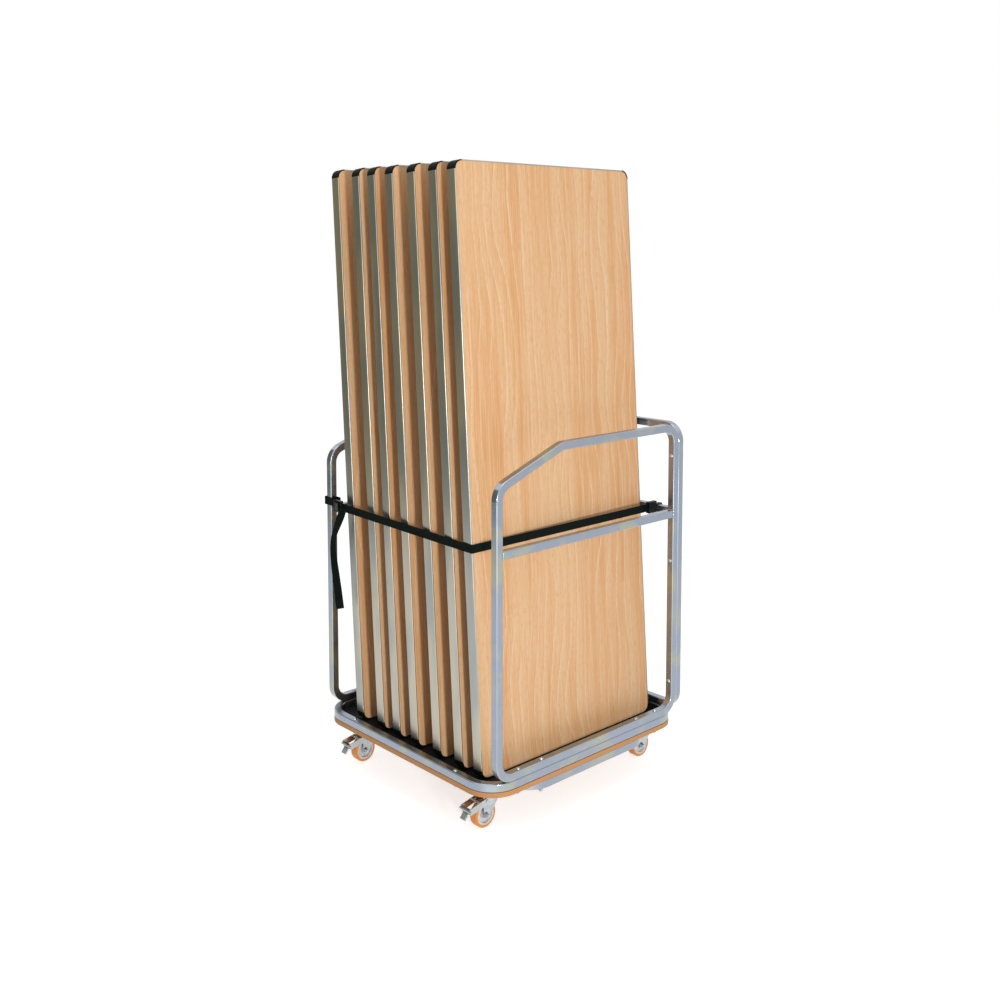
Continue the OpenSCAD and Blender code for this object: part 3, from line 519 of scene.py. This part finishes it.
def woven_webbing(tones):
    """Woven webbing on its own UV: herringbone rows either side of the middle."""
    f = Finish("Webbing", Specular_IOR_Level=0.08)
    axes = f.node("SeparateXYZ", Vector=f.coords.outputs["UV"])
    u, v = axes.outputs["X"], axes.outputs["Y"]
    slant = f.math("ADD", f.math("ABSOLUTE", u), v)
    pick = f.math("PINGPONG", f.math("MULTIPLY", slant, 1 / 0.0016), 1.0)
    warp = f.math("PINGPONG", f.math("MULTIPLY", u, 1 / 0.0011), 1.0)
    weave = f.math("MULTIPLY", f.ramp(pick, [(0.1, 0.0), (0.8, 1.0)]),
                   f.ramp(warp, [(0.0, 0.45), (0.6, 1.0)]))
    worn = f.noise(f.place("UV", scale=(60, 14, 1)), 1.0, 2.0)
    # Painted shade: the weave's grooves, low in its bump, are coloured a darker green black
    base = f.mix(f.math("MULTIPLY", weave, f.span(worn, 0.25, 0.8)), tone(5, 10, 8), tones.webbing)
    return f.drive(Base_Color=base, Roughness=f.span(weave, 0.85, 0.55), Normal=f.bump(weave, 0.6, 0.0006))


def sewing_thread(tones):
    """Bonded thread: two plies twisted along the stitch, with painted shade in the grooves between them."""
    f = Finish("Sewing thread", Roughness=0.55, Specular_IOR_Level=0.1)
    twist = f.node("TexWave", {"bands_direction": "DIAGONAL"}, Vector=f.place("UV", scale=(6, 900, 1)),
                   Scale=1.0).outputs["Fac"]
    return f.drive(Base_Color=f.mix(twist, tone(12, 20, 16), tones.thread), Normal=f.bump(twist, 0.4, 0.0002))


def cast_tyre(tones):
    """Cast polyurethane: even orange, clouded in its depth, dulled and dusted where it rolls."""
    f = Finish("Cast tyre", IOR=1.5, Subsurface_Weight=0.12, Subsurface_Scale=0.004, Coat_Weight=0.15)
    vector = f.place()
    cloud = f.noise(vector, 45.0, 3.0, 0.6)
    scuff = f.noise(f.place(scale=(220, 60, 60)), 1.0, 3.0)
    base = f.mix(f.math("MULTIPLY", cloud, 0.4), tones.tyre, tone(214, 112, 26))
    base = f.mix(f.math("MULTIPLY", f.ramp(scuff, [(0.58, 0.0), (0.74, 1.0)]), 0.25), base, tone(120, 84, 50))
    return f.drive(Base_Color=base, Roughness=f.span(scuff, 0.24, 0.5), Normal=f.bump(scuff, 0.08, 0.0005))


def moulded_hub(tones):
    """Moulded nylon: milky, with faint flow clouds of a slightly greyer white."""
    f = Finish("Nylon hub", IOR=1.53, Subsurface_Weight=0.15, Subsurface_Scale=0.003)
    flow = f.noise(f.place(), 55.0, 3.0, 0.6, 0.5)
    base = f.mix(f.ramp(flow, [(0.4, 0.0), (0.7, 1.0)]), tones.hub, tone(196, 197, 198))
    return f.drive(Base_Color=base, Roughness=f.span(flow, 0.32, 0.5), Normal=f.bump(flow, 0.06, 0.0005))


def moulded_black(tones):
    """Moulded black plastic: fine leather grain, slightly greyed in scattered patches."""
    f = Finish("Black plastic", Specular_IOR_Level=0.05)
    vector = f.place()
    cell = f.node("TexVoronoi", {"feature": "F1"}, Vector=vector, Scale=620.0).outputs["Distance"]
    rub = f.noise(vector, 26.0, 3.0)
    greyed = f.math("MULTIPLY", f.ramp(rub, [(0.5, 0.0), (0.72, 1.0)]), 0.4)
    base = f.mix(greyed, tones.plastic, tone(34, 40, 38))
    return f.drive(Base_Color=base, Roughness=f.span(rub, 0.36, 0.56), Normal=f.bump(cell, 0.25, 0.0004))


def blacked_steel(tones):
    """Blacked steel: dark coat with thin bright rubs."""
    f = Finish("Black steel", Metallic=0.5, Specular_IOR_Level=0.2)
    vector = f.place()
    rub = f.noise(vector, 90.0, 4.0, 0.7)
    base = f.mix(f.ramp(rub, [(0.62, 0.0), (0.72, 0.6)]), tones.black_steel, tone(96, 100, 102))
    return f.drive(Base_Color=base, Roughness=f.span(rub, 0.3, 0.52), Normal=f.bump(rub, 0.12, 0.0004))


def powder_coat(tones):
    """Powder-coated leg tube: orange-peel skin with slight shade differences."""
    f = Finish("Leg powder coat", IOR=1.5)
    vector = f.place()
    peel = f.noise(vector, 420.0, 1.0)
    shade = f.noise(vector, 7.0, 2.0)
    base = f.mix(f.math("MULTIPLY", shade, 0.35), tones.leg_paint, tone(92, 94, 98))
    return f.drive(Base_Color=base, Roughness=f.span(peel, 0.34, 0.5), Normal=f.bump(peel, 0.15, 0.0005))


def finish_nodes(material, names):
    """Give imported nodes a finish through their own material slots."""
    for name in names:
        piece = bpy.data.objects.get(name)
        if piece is None:
            raise RuntimeError("no packed node is named " + name)
        if not piece.material_slots:
            piece.data.materials.append(material)
        for slot in piece.material_slots:
            slot.material = material


def tables(piece):
    """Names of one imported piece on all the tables."""
    return [f"table_{n}_{piece}" for n in range(1, len(FACE_X) + 1)]


def softbox(name, size, power, place, aim):
    """Area light at a place, aimed at a point."""
    lamp = bpy.data.lights.new(name, "AREA")
    lamp.shape = "RECTANGLE"
    lamp.size, lamp.size_y = size
    lamp.energy = power
    holder = bpy.data.objects.new(name, lamp)
    holder.location = place
    look = np.array(aim, float) - np.array(place, float)
    yaw = float(np.arctan2(look[1], look[0])) - pi / 2
    pitch = float(np.arctan2(look[2], np.hypot(look[0], look[1])))
    holder.rotation_euler = (pi / 2 + pitch, 0, yaw)
    bpy.context.scene.collection.objects.link(holder)
    return holder


def spare_key_shadow(piece):
    """Leave a slim piece out of the key softbox's shadows, so it draws no line across the front table."""
    slim = bpy.data.collections["Slim pieces"]
    slim.objects.link(piece)
    for member in slim.collection_objects:
        member.light_linking.link_state = "EXCLUDE"


class TROLLEY_OT_stage(bpy.types.Operator):
    """Camera at the photograph's angle, pale floor, white surroundings and soft light"""
    bl_idname = "trolley.stage"
    bl_label = "Stage"

    def execute(self, context):
        scene, stage = context.scene, context.scene.trolley_stage
        eye = bpy.data.cameras.new("Camera")
        eye.lens = stage.lens
        eye.sensor_width = 36
        eye.shift_y = EYE_SHIFT
        camera = bpy.data.objects.new("Camera", eye)
        camera.location = EYE
        camera.rotation_euler = EYE_TURN
        scene.collection.objects.link(camera)
        scene.camera = camera
        scene.view_settings.view_transform = "Standard"

        # White surroundings for the camera and polished faces, dimmer for the light they give
        world = bpy.data.worlds.new("Studio")
        n = Nodes(world)
        path = n.node("LightPath").outputs
        mirrored = n.math("MAXIMUM", path["Is Glossy Ray"], path["Is Transmission Ray"])
        seen = n.math("MAXIMUM", path["Is Camera Ray"], mirrored)
        level = n.node("MapRange", i0=seen, i3=AMBIENT, i4=1.0).outputs[0]
        back = n.node("Background", Color=(1, 1, 1, 1), Strength=level)
        n.node("OutputWorld", Surface=back.outputs[0])
        scene.world = world

        # Floor: a disc of rings, matt, with a glow of its own where it is seen
        a = np.linspace(0, 2 * pi, 96, endpoint=False)
        r = np.array([0.4, 1.2, 2.5, 5.0, 12.0, 30.0])
        disc = np.stack([np.cos(a)[None] * r[:, None], np.sin(a)[None] * r[:, None], np.zeros((6, 96))], -1)
        shells = Shells()
        shells.add(disc, quads(6, 96, False, True).tolist() + [list(range(96))])
        material = bpy.data.materials.new("Pale floor")
        n = Nodes(material)
        path = n.node("LightPath").outputs
        seen = n.math("MAXIMUM", path["Is Camera Ray"], path["Is Glossy Ray"])
        glow = n.node("Emission", Strength=n.math("MULTIPLY", seen, FLOOR_GLOW))
        matt = n.node("BsdfDiffuse", Color=(FLOOR_TONE, FLOOR_TONE, FLOOR_TONE, 1))
        cover = n.node("AddShader", i0=matt.outputs[0], i1=glow.outputs[0])
        n.node("OutputMaterial", Surface=cover.outputs[0])
        shells.build("Floor", material)

        key = softbox("Key softbox", (0.5, 0.9), stage.key_power, (4.9, -2.25, 1.1), LIGHT_AIM)
        key.light_linking.blocker_collection = bpy.data.collections.new("Slim pieces")
        for name in ("right_hoop", "rear_hoop"):
            spare_key_shadow(bpy.data.objects[name])
        softbox("Top softbox", (2.4, 2.4), stage.top_power, (0.4, -0.6, 4.2), LIGHT_AIM)

        # Dark card beyond the open end, seen by polished faces alone
        u, v = np.meshgrid(np.linspace(-1, 1, 9), np.linspace(0, 1, 7), indexing="ij")
        card = np.stack([-2.5 + 1.43 * u, -2.75 - 1.53 * u, 0.02 + 3.4 * v], -1)
        dark = bpy.data.materials.new("Dark card")
        n = Nodes(dark)
        n.node("OutputMaterial", Surface=n.node("Emission", Color=(0.27, 0.25, 0.17, 1)).outputs[0])
        shells = Shells()
        shells.add(card, quads(9, 7).tolist())
        flag = shells.build("Dark card", dark)
        flag.visible_camera = flag.visible_diffuse = flag.visible_shadow = flag.visible_transmission = False
        return {"FINISHED"}


class TROLLEY_OT_strap_tail(bpy.types.Operator):
    """Hanging tail of the strap: a webbing profile carried along a twisting path, with a sewn end"""
    bl_idname = "trolley.strap_tail"
    bl_label = "Strap tail"

    def execute(self, context):
        tones, sizes = context.scene.trolley_colours, context.scene.trolley_sizes
        spine = smooth_path(STRAP_START + TAIL_STEPS)
        twist = smooth_path(TAIL_TWISTS[:, None])[:, 0]
        run = np.gradient(spine, axis=0)
        run /= np.linalg.norm(run, axis=1)[:, None]
        flat = np.cross(run, ACROSS)
        flat /= np.linalg.norm(flat, axis=1)[:, None]
        out = np.cross(run, flat)
        wide = flat * np.cos(twist)[:, None] + out * np.sin(twist)[:, None]
        thick = np.cross(run, wide)
        along = np.r_[0, np.cumsum(np.linalg.norm(np.diff(spine, axis=0), axis=1))]
        profile = rounded_band(sizes.strap_w, sizes.strap_t)
        shells = Shells()
        carried(shells, profile, spine, wide, thick)
        end = along > along[-1] - sizes.fold_l
        lift = spine[end] + thick[end] * sizes.strap_t * 0.92
        carried(shells, profile * [0.985, 0.9], lift, wide[end], thick[end], along=along[end])
        tail = shells.build("strap_tail_webbing", woven_webbing(tones))
        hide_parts("strap_tail")
        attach(tail, "trolley")

        # Stitches: short bowed threads in three rows across the sewn end, on both its sides
        ring = np.linspace(0, 2 * pi, 6, endpoint=False)
        thread = sizes.thread_r * np.stack([np.cos(ring), np.sin(ring)], -1)
        bow = np.linspace(0, 1, 6)[:, None]
        shells = Shells()
        for back in np.linspace(0.1, 0.9, 3) * sizes.fold_l:
            at = int(np.argmin(np.abs(along - along[-1] + back)))
            for low, rise in ((1.24, 0.3), (-0.4, -0.3)):
                for start in np.linspace(-0.42, 0.3, 6):
                    side = sizes.strap_w * (start + 0.12 * bow)
                    high = sizes.strap_t * (low + rise * np.sin(pi * bow))
                    carried(shells, thread, spine[at] + side * wide[at] + high * thick[at],
                            np.tile(thick[at], (6, 1)), np.tile(run[at], (6, 1)))
        stitches = shells.build("strap_tail_stitches", sewing_thread(tones))
        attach(stitches, "trolley")
        return {"FINISHED"}


class TROLLEY_OT_strap_band(bpy.types.Operator):
    """Taut strap: webbing carried from the far upright across the tables' edges to the rear clip"""
    bl_idname = "trolley.strap_band"
    bl_label = "Strap band"

    def execute(self, context):
        tones, sizes = context.scene.trolley_colours, context.scene.trolley_sizes
        r = STRAP_CLEAR + sizes.strap_t / 2
        start, finish = STRAP_START[:2], STRAP_END[:2]

        def touch(p, side):
            d = p - STRAP_EDGE
            return np.arctan2(d[1], d[0]) + side * np.arccos(r / np.linalg.norm(d))

        a0, a1 = touch(start, 1), touch(finish, -1)
        bend = np.linspace(a0, a1 if a1 > a0 else a1 + 2 * pi, 14)
        arc = STRAP_EDGE + r * np.stack([np.cos(bend), np.sin(bend)], -1)
        front = start + (arc[0] - start) * np.linspace(0, 1, 40)[:, None]
        side = arc[-1] + (finish - arc[-1]) * np.linspace(0, 1, 44)[:, None]
        plan = np.concatenate([front[:-1], arc, side[1:]])
        z = np.concatenate([np.linspace(STRAP_START[2], EDGE_Z, 40)[:-1], np.full(14, EDGE_Z),
                            np.linspace(EDGE_Z, STRAP_END[2], 44)[1:]])
        spine = np.concatenate([plan, z[:, None]], 1)
        run = np.gradient(plan, axis=0)
        run /= np.linalg.norm(run, axis=1)[:, None]
        wide = np.tile([0.0, 0, 1], (len(spine), 1))
        thick = np.stack([run[:, 1], -run[:, 0], np.zeros(len(run))], -1)
        profile = rounded_band(sizes.strap_w, sizes.strap_t)
        shells = Shells()
        carried(shells, profile, spine, wide, thick)

        # Loop round the far upright: a rounded oblong, as a superellipse in plan
        a = np.linspace(0, 2 * pi, 96, endpoint=False)
        c, s = np.cos(a), np.sin(a)
        reach = (np.abs(c / LOOP_HALF[0]) ** 6 + np.abs(s / LOOP_HALF[1]) ** 6) ** (-1 / 6)
        loop = np.stack([LOOP_X + c * reach, -HOOP_Y + s * reach, np.full(96, LOOP_Z)], -1)
        go = np.roll(loop, -1, 0) - np.roll(loop, 1, 0)
        go /= np.linalg.norm(go, axis=1)[:, None]
        up = np.tile([0.0, 0, 1], (96, 1))
        carried(shells, profile, loop, up, np.stack([go[:, 1], -go[:, 0], np.zeros(96)], -1), closed=True)
        band = shells.build("strap_band_webbing", woven_webbing(tones))
        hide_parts("strap_band")
        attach(band, "trolley")
        return {"FINISHED"}


class TROLLEY_OT_bolts(bpy.types.Operator):
    """Domed bolts of the frame: a dome, a washer face and a chamfered shank turned round each bolt's axis"""
    bl_idname = "trolley.bolts"
    bl_label = "Bolts"

    def execute(self, context):
        sizes = context.scene.trolley_sizes
        r, h = sizes.bolt_head_w / 2, sizes.bolt_head_h
        dome = np.linspace(0, pi / 2, 9)
        head = np.stack([0.94 * r * np.sin(dome), BOLT_EDGE + (h - BOLT_EDGE) * np.cos(dome)], -1)
        side = np.array([[r, 0.0006], [r, 0.0], [BOLT_R, 0.0]])
        past = NUT_H + BOLT_END
        sites = [((sx * SIDE_X, sy * RING_BOLT_Y, RAIL_TOP), (0, 0, 1), RAIL_TOP - DECK_Z + TUBE + past)
                 for sx in (-1, 1) for sy in (-1, 1)]
        sites += [((sx * SIDE_X, sy * RAIL_BOLT_Y, RAIL_TOP), (0, 0, 1), RAIL_TOP - DECK_Z + past)
                  for sx in (-1, 1) for sy in (-1, 1)]
        sites += [((sx * FRONT_BOLT_X, -END_Y, HOOP_FOOT), (0, 0, 1), HOOP_FOOT - DECK_Z + past)
                  for sx in (-1, 1)]
        sites += [((sx * REAR_BOLT_X, END_Y, RAIL_TOP), (0, 0, 1), RAIL_TOP - DECK_Z + past)
                  for sx in (-1, 1)]
        sites += [((sx * SIDE_X, HOOP_Y - TUBE / 2, HOOP_FOOT + share * HOOP_H), (0, -1, 0), 2 * TUBE + past)
                  for sx in (-1, 1) for share in UPRIGHT_BOLT_SHARES]
        sites += [((x + sx * PLATE_BOLT[0], y + sy * PLATE_BOLT[1], PLATE_FACE_Z), (0, 0, -1), PLATE_GRIP)
                  for x, y in CASTORS.values() for sx in (-1, 1) for sy in (-1, 1)]
        shells = Shells()
        for place, axis, grip in sites:
            tip = np.array([[BOLT_R, -grip + BOLT_EDGE], [BOLT_R - BOLT_EDGE, -grip], [0.0, -grip]])
            turned(shells, np.concatenate([head, side, tip]), np.array(place), np.array(axis, float), 20)
        bolts = shells.build("frame_bolts_domed", bright_zinc(context.scene.trolley_colours))
        bolts.data.set_sharp_from_angle(angle=radians(40))
        spare_key_shadow(bolts)
        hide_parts("frame_bolts")
        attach(bolts, "trolley")
        return {"FINISHED"}


class TROLLEY_OT_welds(bpy.types.Operator):
    """Weld beads where the middle rails meet the uprights and where the leg frames are joined"""
    bl_idname = "trolley.welds"
    bl_label = "Welds"

    def execute(self, context):
        tones, sizes = context.scene.trolley_colours, context.scene.trolley_sizes
        x, y, z = np.eye(3)
        half = TUBE / 2
        shells = Shells()
        for sx in (-1, 1):
            for sy in (-1, 1):
                centre = np.array([sx * SIDE_X, sy * (HOOP_Y - half), RAIL_Z])
                shells.add(*bead_loop(centre, z, x, half, sizes.bead_r))
            centre = np.array([sx * (SIDE_X - half), END_Y, RAIL_Z])
            shells.add(*bead_loop(centre, y, z, half, sizes.bead_r))
        beads = shells.build("rail_welds", plated_tube(tones))
        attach(beads, "trolley")
        paint = powder_coat(tones)
        for i in range(len(FACE_X)):
            shells = Shells()
            for up in (BRACKET_UP, CROSSBAR_UP, TABLE_L - CROSSBAR_UP, TABLE_L - BRACKET_UP):
                for sy in (-1, 1):
                    centre = table_place(i, LEG_P, sy * (LEG_Y - half), up)
                    shells.add(*bead_loop(centre, TABLE_UP, -TABLE_BACK, half, sizes.bead_r * 0.8,
                                          steps=48, around=6))
            beads = shells.build(f"table_{i + 1}_leg_welds", paint)
            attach(beads, f"table_{i + 1}")
        return {"FINISHED"}


class TROLLEY_OT_screws(bpy.types.Operator):
    """Pan-head screws of the leg brackets: shallow domes turned round each screw's axis"""
    bl_idname = "trolley.screws"
    bl_label = "Screws"

    def execute(self, context):
        sizes = context.scene.trolley_sizes
        r = sizes.screw_w / 2
        dome = np.linspace(0, pi / 2, 6)
        head = np.stack([r * np.sin(dome), SCREW_H * np.cos(dome) ** 0.7], -1)
        profile = np.concatenate([head, [[0.0, -SCREW_SINK]]])
        zinc = bright_zinc(context.scene.trolley_colours)
        for i in range(len(FACE_X)):
            shells = Shells()
            spots = [(sy * LEG_Y + dy, up + du) for up in (BRACKET_UP, TABLE_L - BRACKET_UP) for sy in (-1, 1)
                     for dy in (-SCREW_Y, SCREW_Y) for du in (-SCREW_UP, SCREW_UP)]
            for y, up in spots:
                turned(shells, profile, table_place(i, BRACKET_P, y, up), TABLE_BACK, 12)
            screws = shells.build(f"table_{i + 1}_bracket_screws", zinc)
            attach(screws, f"table_{i + 1}")
        return {"FINISHED"}


class TROLLEY_OT_edging(bpy.types.Operator):
    """Aluminium edging of the tables: a hooked section with a rolled lip carried along each straight side"""
    bl_idname = "trolley.edging"
    bl_label = "Edging"

    def execute(self, context):
        tones, sizes = context.scene.trolley_colours, context.scene.trolley_sizes
        satin = satin_edging(tones)
        a = np.linspace(pi / 2, 0, 8)[:, None]
        r, low, depth = sizes.lip_r, 0.0012, 0.036
        lip = r - r * np.concatenate([np.cos(a), np.sin(a)], 1)[::-1]
        back = np.concatenate([low - low * np.cos(a), depth - low + low * np.sin(a)], 1)[::-1]
        hook = np.array([[11, 36], [11, 34.5], [2, 34.5], [2, 20.6], [6, 20.6], [6, 19.1], [2, 19.1],
                         [2, 0.9], [4, 0.9], [4, 0]]) / 1000
        profile = np.concatenate([lip[::-1], back, hook])[::-1]
        girth = np.r_[0, np.cumsum(np.linalg.norm(np.diff(profile, axis=0), axis=1))]
        half = np.array([TABLE_W / 2, TABLE_L / 2])
        for i in range(len(FACE_X)):
            shells = Shells()
            for y, up in ((0, -1), (1, 0), (0, 1), (-1, 0)):
                inward = -y * ACROSS - up * TABLE_UP
                run = np.cross(inward, TABLE_BACK)
                reach = half[int(y != 0)] - TABLE_CORNER
                middle = table_place(i, 0, y * half[0], half[1] + up * half[1])
                spine = middle + run * np.linspace(-reach, reach, 2)[:, None]
                wide, thick = np.tile(inward, (2, 1)), np.tile(TABLE_BACK, (2, 1))
                carried(shells, profile, spine, wide, thick, across=girth)
            edging = shells.build(f"table_{i + 1}_edging_rolled", satin)
            edging.data.set_sharp_from_angle(angle=radians(40))
            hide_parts(f"table_{i + 1}_edging")
            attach(edging, f"table_{i + 1}")
        return {"FINISHED"}


class TROLLEY_OT_castor_trim(bpy.types.Operator):
    """Castor trim: rolled lips round the swivel heads and ribbed grips on the brake pads"""
    bl_idname = "trolley.castor_trim"
    bl_label = "Castor trim"

    def execute(self, context):
        tones = context.scene.trolley_colours
        zinc = bright_zinc(tones)
        a = np.linspace(0, 2 * pi, 64, endpoint=False)
        b = np.linspace(0, 2 * pi, 10, endpoint=False)
        for name, (x, y) in CASTORS.items():
            shells = Shells()
            for radius, z, lip in SWIVEL_LIPS:
                ring = radius + lip * np.cos(b)[None, :]
                points = np.stack([x + np.cos(a)[:, None] * ring, y + np.sin(a)[:, None] * ring,
                                   np.broadcast_to(z + lip * np.sin(b)[None, :], (64, 10))], -1)
                shells.add(points, quads(64, 10, True, True).tolist())
            lips = shells.build(name + "_swivel_lips", zinc)
            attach(lips, name + "_swivel")
        for name in ("front_right", "front_left"):
            x, y = CASTORS[name]
            slope, tilt = BRAKE_SLOPE, PAD_SLOPE
            pivot = np.array([x, y - TRAIL, BRAKE_PIVOT_Z])
            out, rise = np.array([0, cos(slope), sin(slope)]), np.array([0, -sin(slope), cos(slope)])
            hinge = pivot - BRAKE_ARM[0] * out - BRAKE_ARM[1] * rise
            lie, top = np.array([0, cos(tilt), sin(tilt)]), np.array([0, -sin(tilt), cos(tilt)])
            shells = Shells()
            for at in np.linspace(*RIB_SPAN, 5):
                e = np.linspace(-1, 1, 15)
                width = RIB_HALF_L * np.sign(e) * (1 - (1 - np.abs(e)) ** 2)
                high = RIB_R * np.sqrt(np.clip(1 - np.abs(e) ** 6, 0, 1)) + 0.0001
                spine = hinge + at * lie + RIB_RISE * top + width[:, None] * np.array([1.0, 0, 0])
                c = np.linspace(0, 2 * pi, 10, endpoint=False)
                profile = np.stack([RIB_R * np.cos(c), np.sin(c)], -1)
                points = (spine[:, None] + profile[None, :, :1] * lie
                          + (profile[None, :, 1] * high[:, None])[..., None] * top)
                ends = [list(range(10))[::-1], list(range(140, 150))]
                shells.add(points, quads(15, 10, False, True)[:, ::-1].tolist() + ends)
            grip = shells.build(name + "_brake_grip", zinc)
            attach(grip, name + "_pedal")
        return {"FINISHED"}


class TROLLEY_OT_frame_finish(bpy.types.Operator):
    """Finishes of the frame, the deck and the strap's fittings"""
    bl_idname = "trolley.frame_finish"
    bl_label = "Frame finish"

    def execute(self, context):
        tones = context.scene.trolley_colours
        finish_nodes(plated_tube(tones), ["base_rim", "under_frame", "right_hoop", "left_hoop", "rear_hoop"])
        finish_nodes(bright_zinc(tones), ["frame_bolts", "frame_nuts", "castor_plates"])
        finish_nodes(plywood_edge(tones), ["base_board"])
        finish_nodes(ribbed_mat(tones), ["base_mat"])
        finish_nodes(blacked_steel(tones), ["cam_buckle", "strap_clip"])
        return {"FINISHED"}


class TROLLEY_OT_castor_finish(bpy.types.Operator):
    """Finishes of the castors"""
    bl_idname = "trolley.castor_finish"
    bl_label = "Castor finish"

    def execute(self, context):
        tones = context.scene.trolley_colours
        metal = [c + "_" + p for c in CASTORS for p in ("fork", "axle")]
        finish_nodes(bright_zinc(tones), metal + ["front_right_brake", "front_left_brake"])
        finish_nodes(moulded_hub(tones), [c + "_hub" for c in CASTORS])
        finish_nodes(cast_tyre(tones), [c + "_tyre" for c in CASTORS])
        return {"FINISHED"}


class TROLLEY_OT_table_finish(bpy.types.Operator):
    """Finishes of the tables"""
    bl_idname = "trolley.table_finish"
    bl_label = "Table finish"

    def execute(self, context):
        tones, sizes = context.scene.trolley_colours, context.scene.trolley_sizes
        finish_nodes(beech_laminate(tones, sizes), tables("top"))
        finish_nodes(moulded_black(tones), tables("caps"))
        finish_nodes(powder_coat(tones), tables("legs"))
        return {"FINISHED"}


OPERATORS = (
    TROLLEY_OT_stage, TROLLEY_OT_strap_tail, TROLLEY_OT_strap_band, TROLLEY_OT_frame_finish,
    TROLLEY_OT_castor_finish, TROLLEY_OT_table_finish, TROLLEY_OT_edging, TROLLEY_OT_bolts,
    TROLLEY_OT_welds, TROLLEY_OT_screws, TROLLEY_OT_castor_trim,
)


class TROLLEY_PT_panel(bpy.types.Panel):
    """Lists the trolley's pieces and their settings"""
    bl_idname = "TROLLEY_PT_panel"
    bl_label = "Banquet table trolley"
    bl_space_type = "VIEW_3D"
    bl_region_type = "UI"
    bl_category = "Trolley"

    def draw(self, context):
        for operator in OPERATORS:
            self.layout.operator(operator.bl_idname)
        for group in ("trolley_colours", "trolley_sizes", "trolley_stage"):
            box = self.layout.box()
            settings = getattr(context.scene, group)
            for key in settings.__annotations__:
                box.prop(settings, key)


GROUPS = {"trolley_colours": TrolleyColours, "trolley_sizes": TrolleySizes, "trolley_stage": TrolleyStage}


def register():
    for name, group in GROUPS.items():
        bpy.utils.register_class(group)
        setattr(bpy.types.Scene, name, PointerProperty(type=group))
    for cls in (*OPERATORS, TROLLEY_PT_panel):
        bpy.utils.register_class(cls)


def unregister():
    for cls in (TROLLEY_PT_panel, *reversed(OPERATORS)):
        bpy.utils.unregister_class(cls)
    for name, group in reversed(GROUPS.items()):
        delattr(bpy.types.Scene, name)
        bpy.utils.unregister_class(group)


def main():
    register()
    bpy.ops.trolley.stage()
    bpy.ops.trolley.strap_tail()
    bpy.ops.trolley.strap_band()
    bpy.ops.trolley.frame_finish()
    bpy.ops.trolley.castor_finish()
    bpy.ops.trolley.table_finish()
    bpy.ops.trolley.edging()
    bpy.ops.trolley.bolts()
    bpy.ops.trolley.welds()
    bpy.ops.trolley.screws()
    bpy.ops.trolley.castor_trim()


if __name__ == "__main__":
    main()
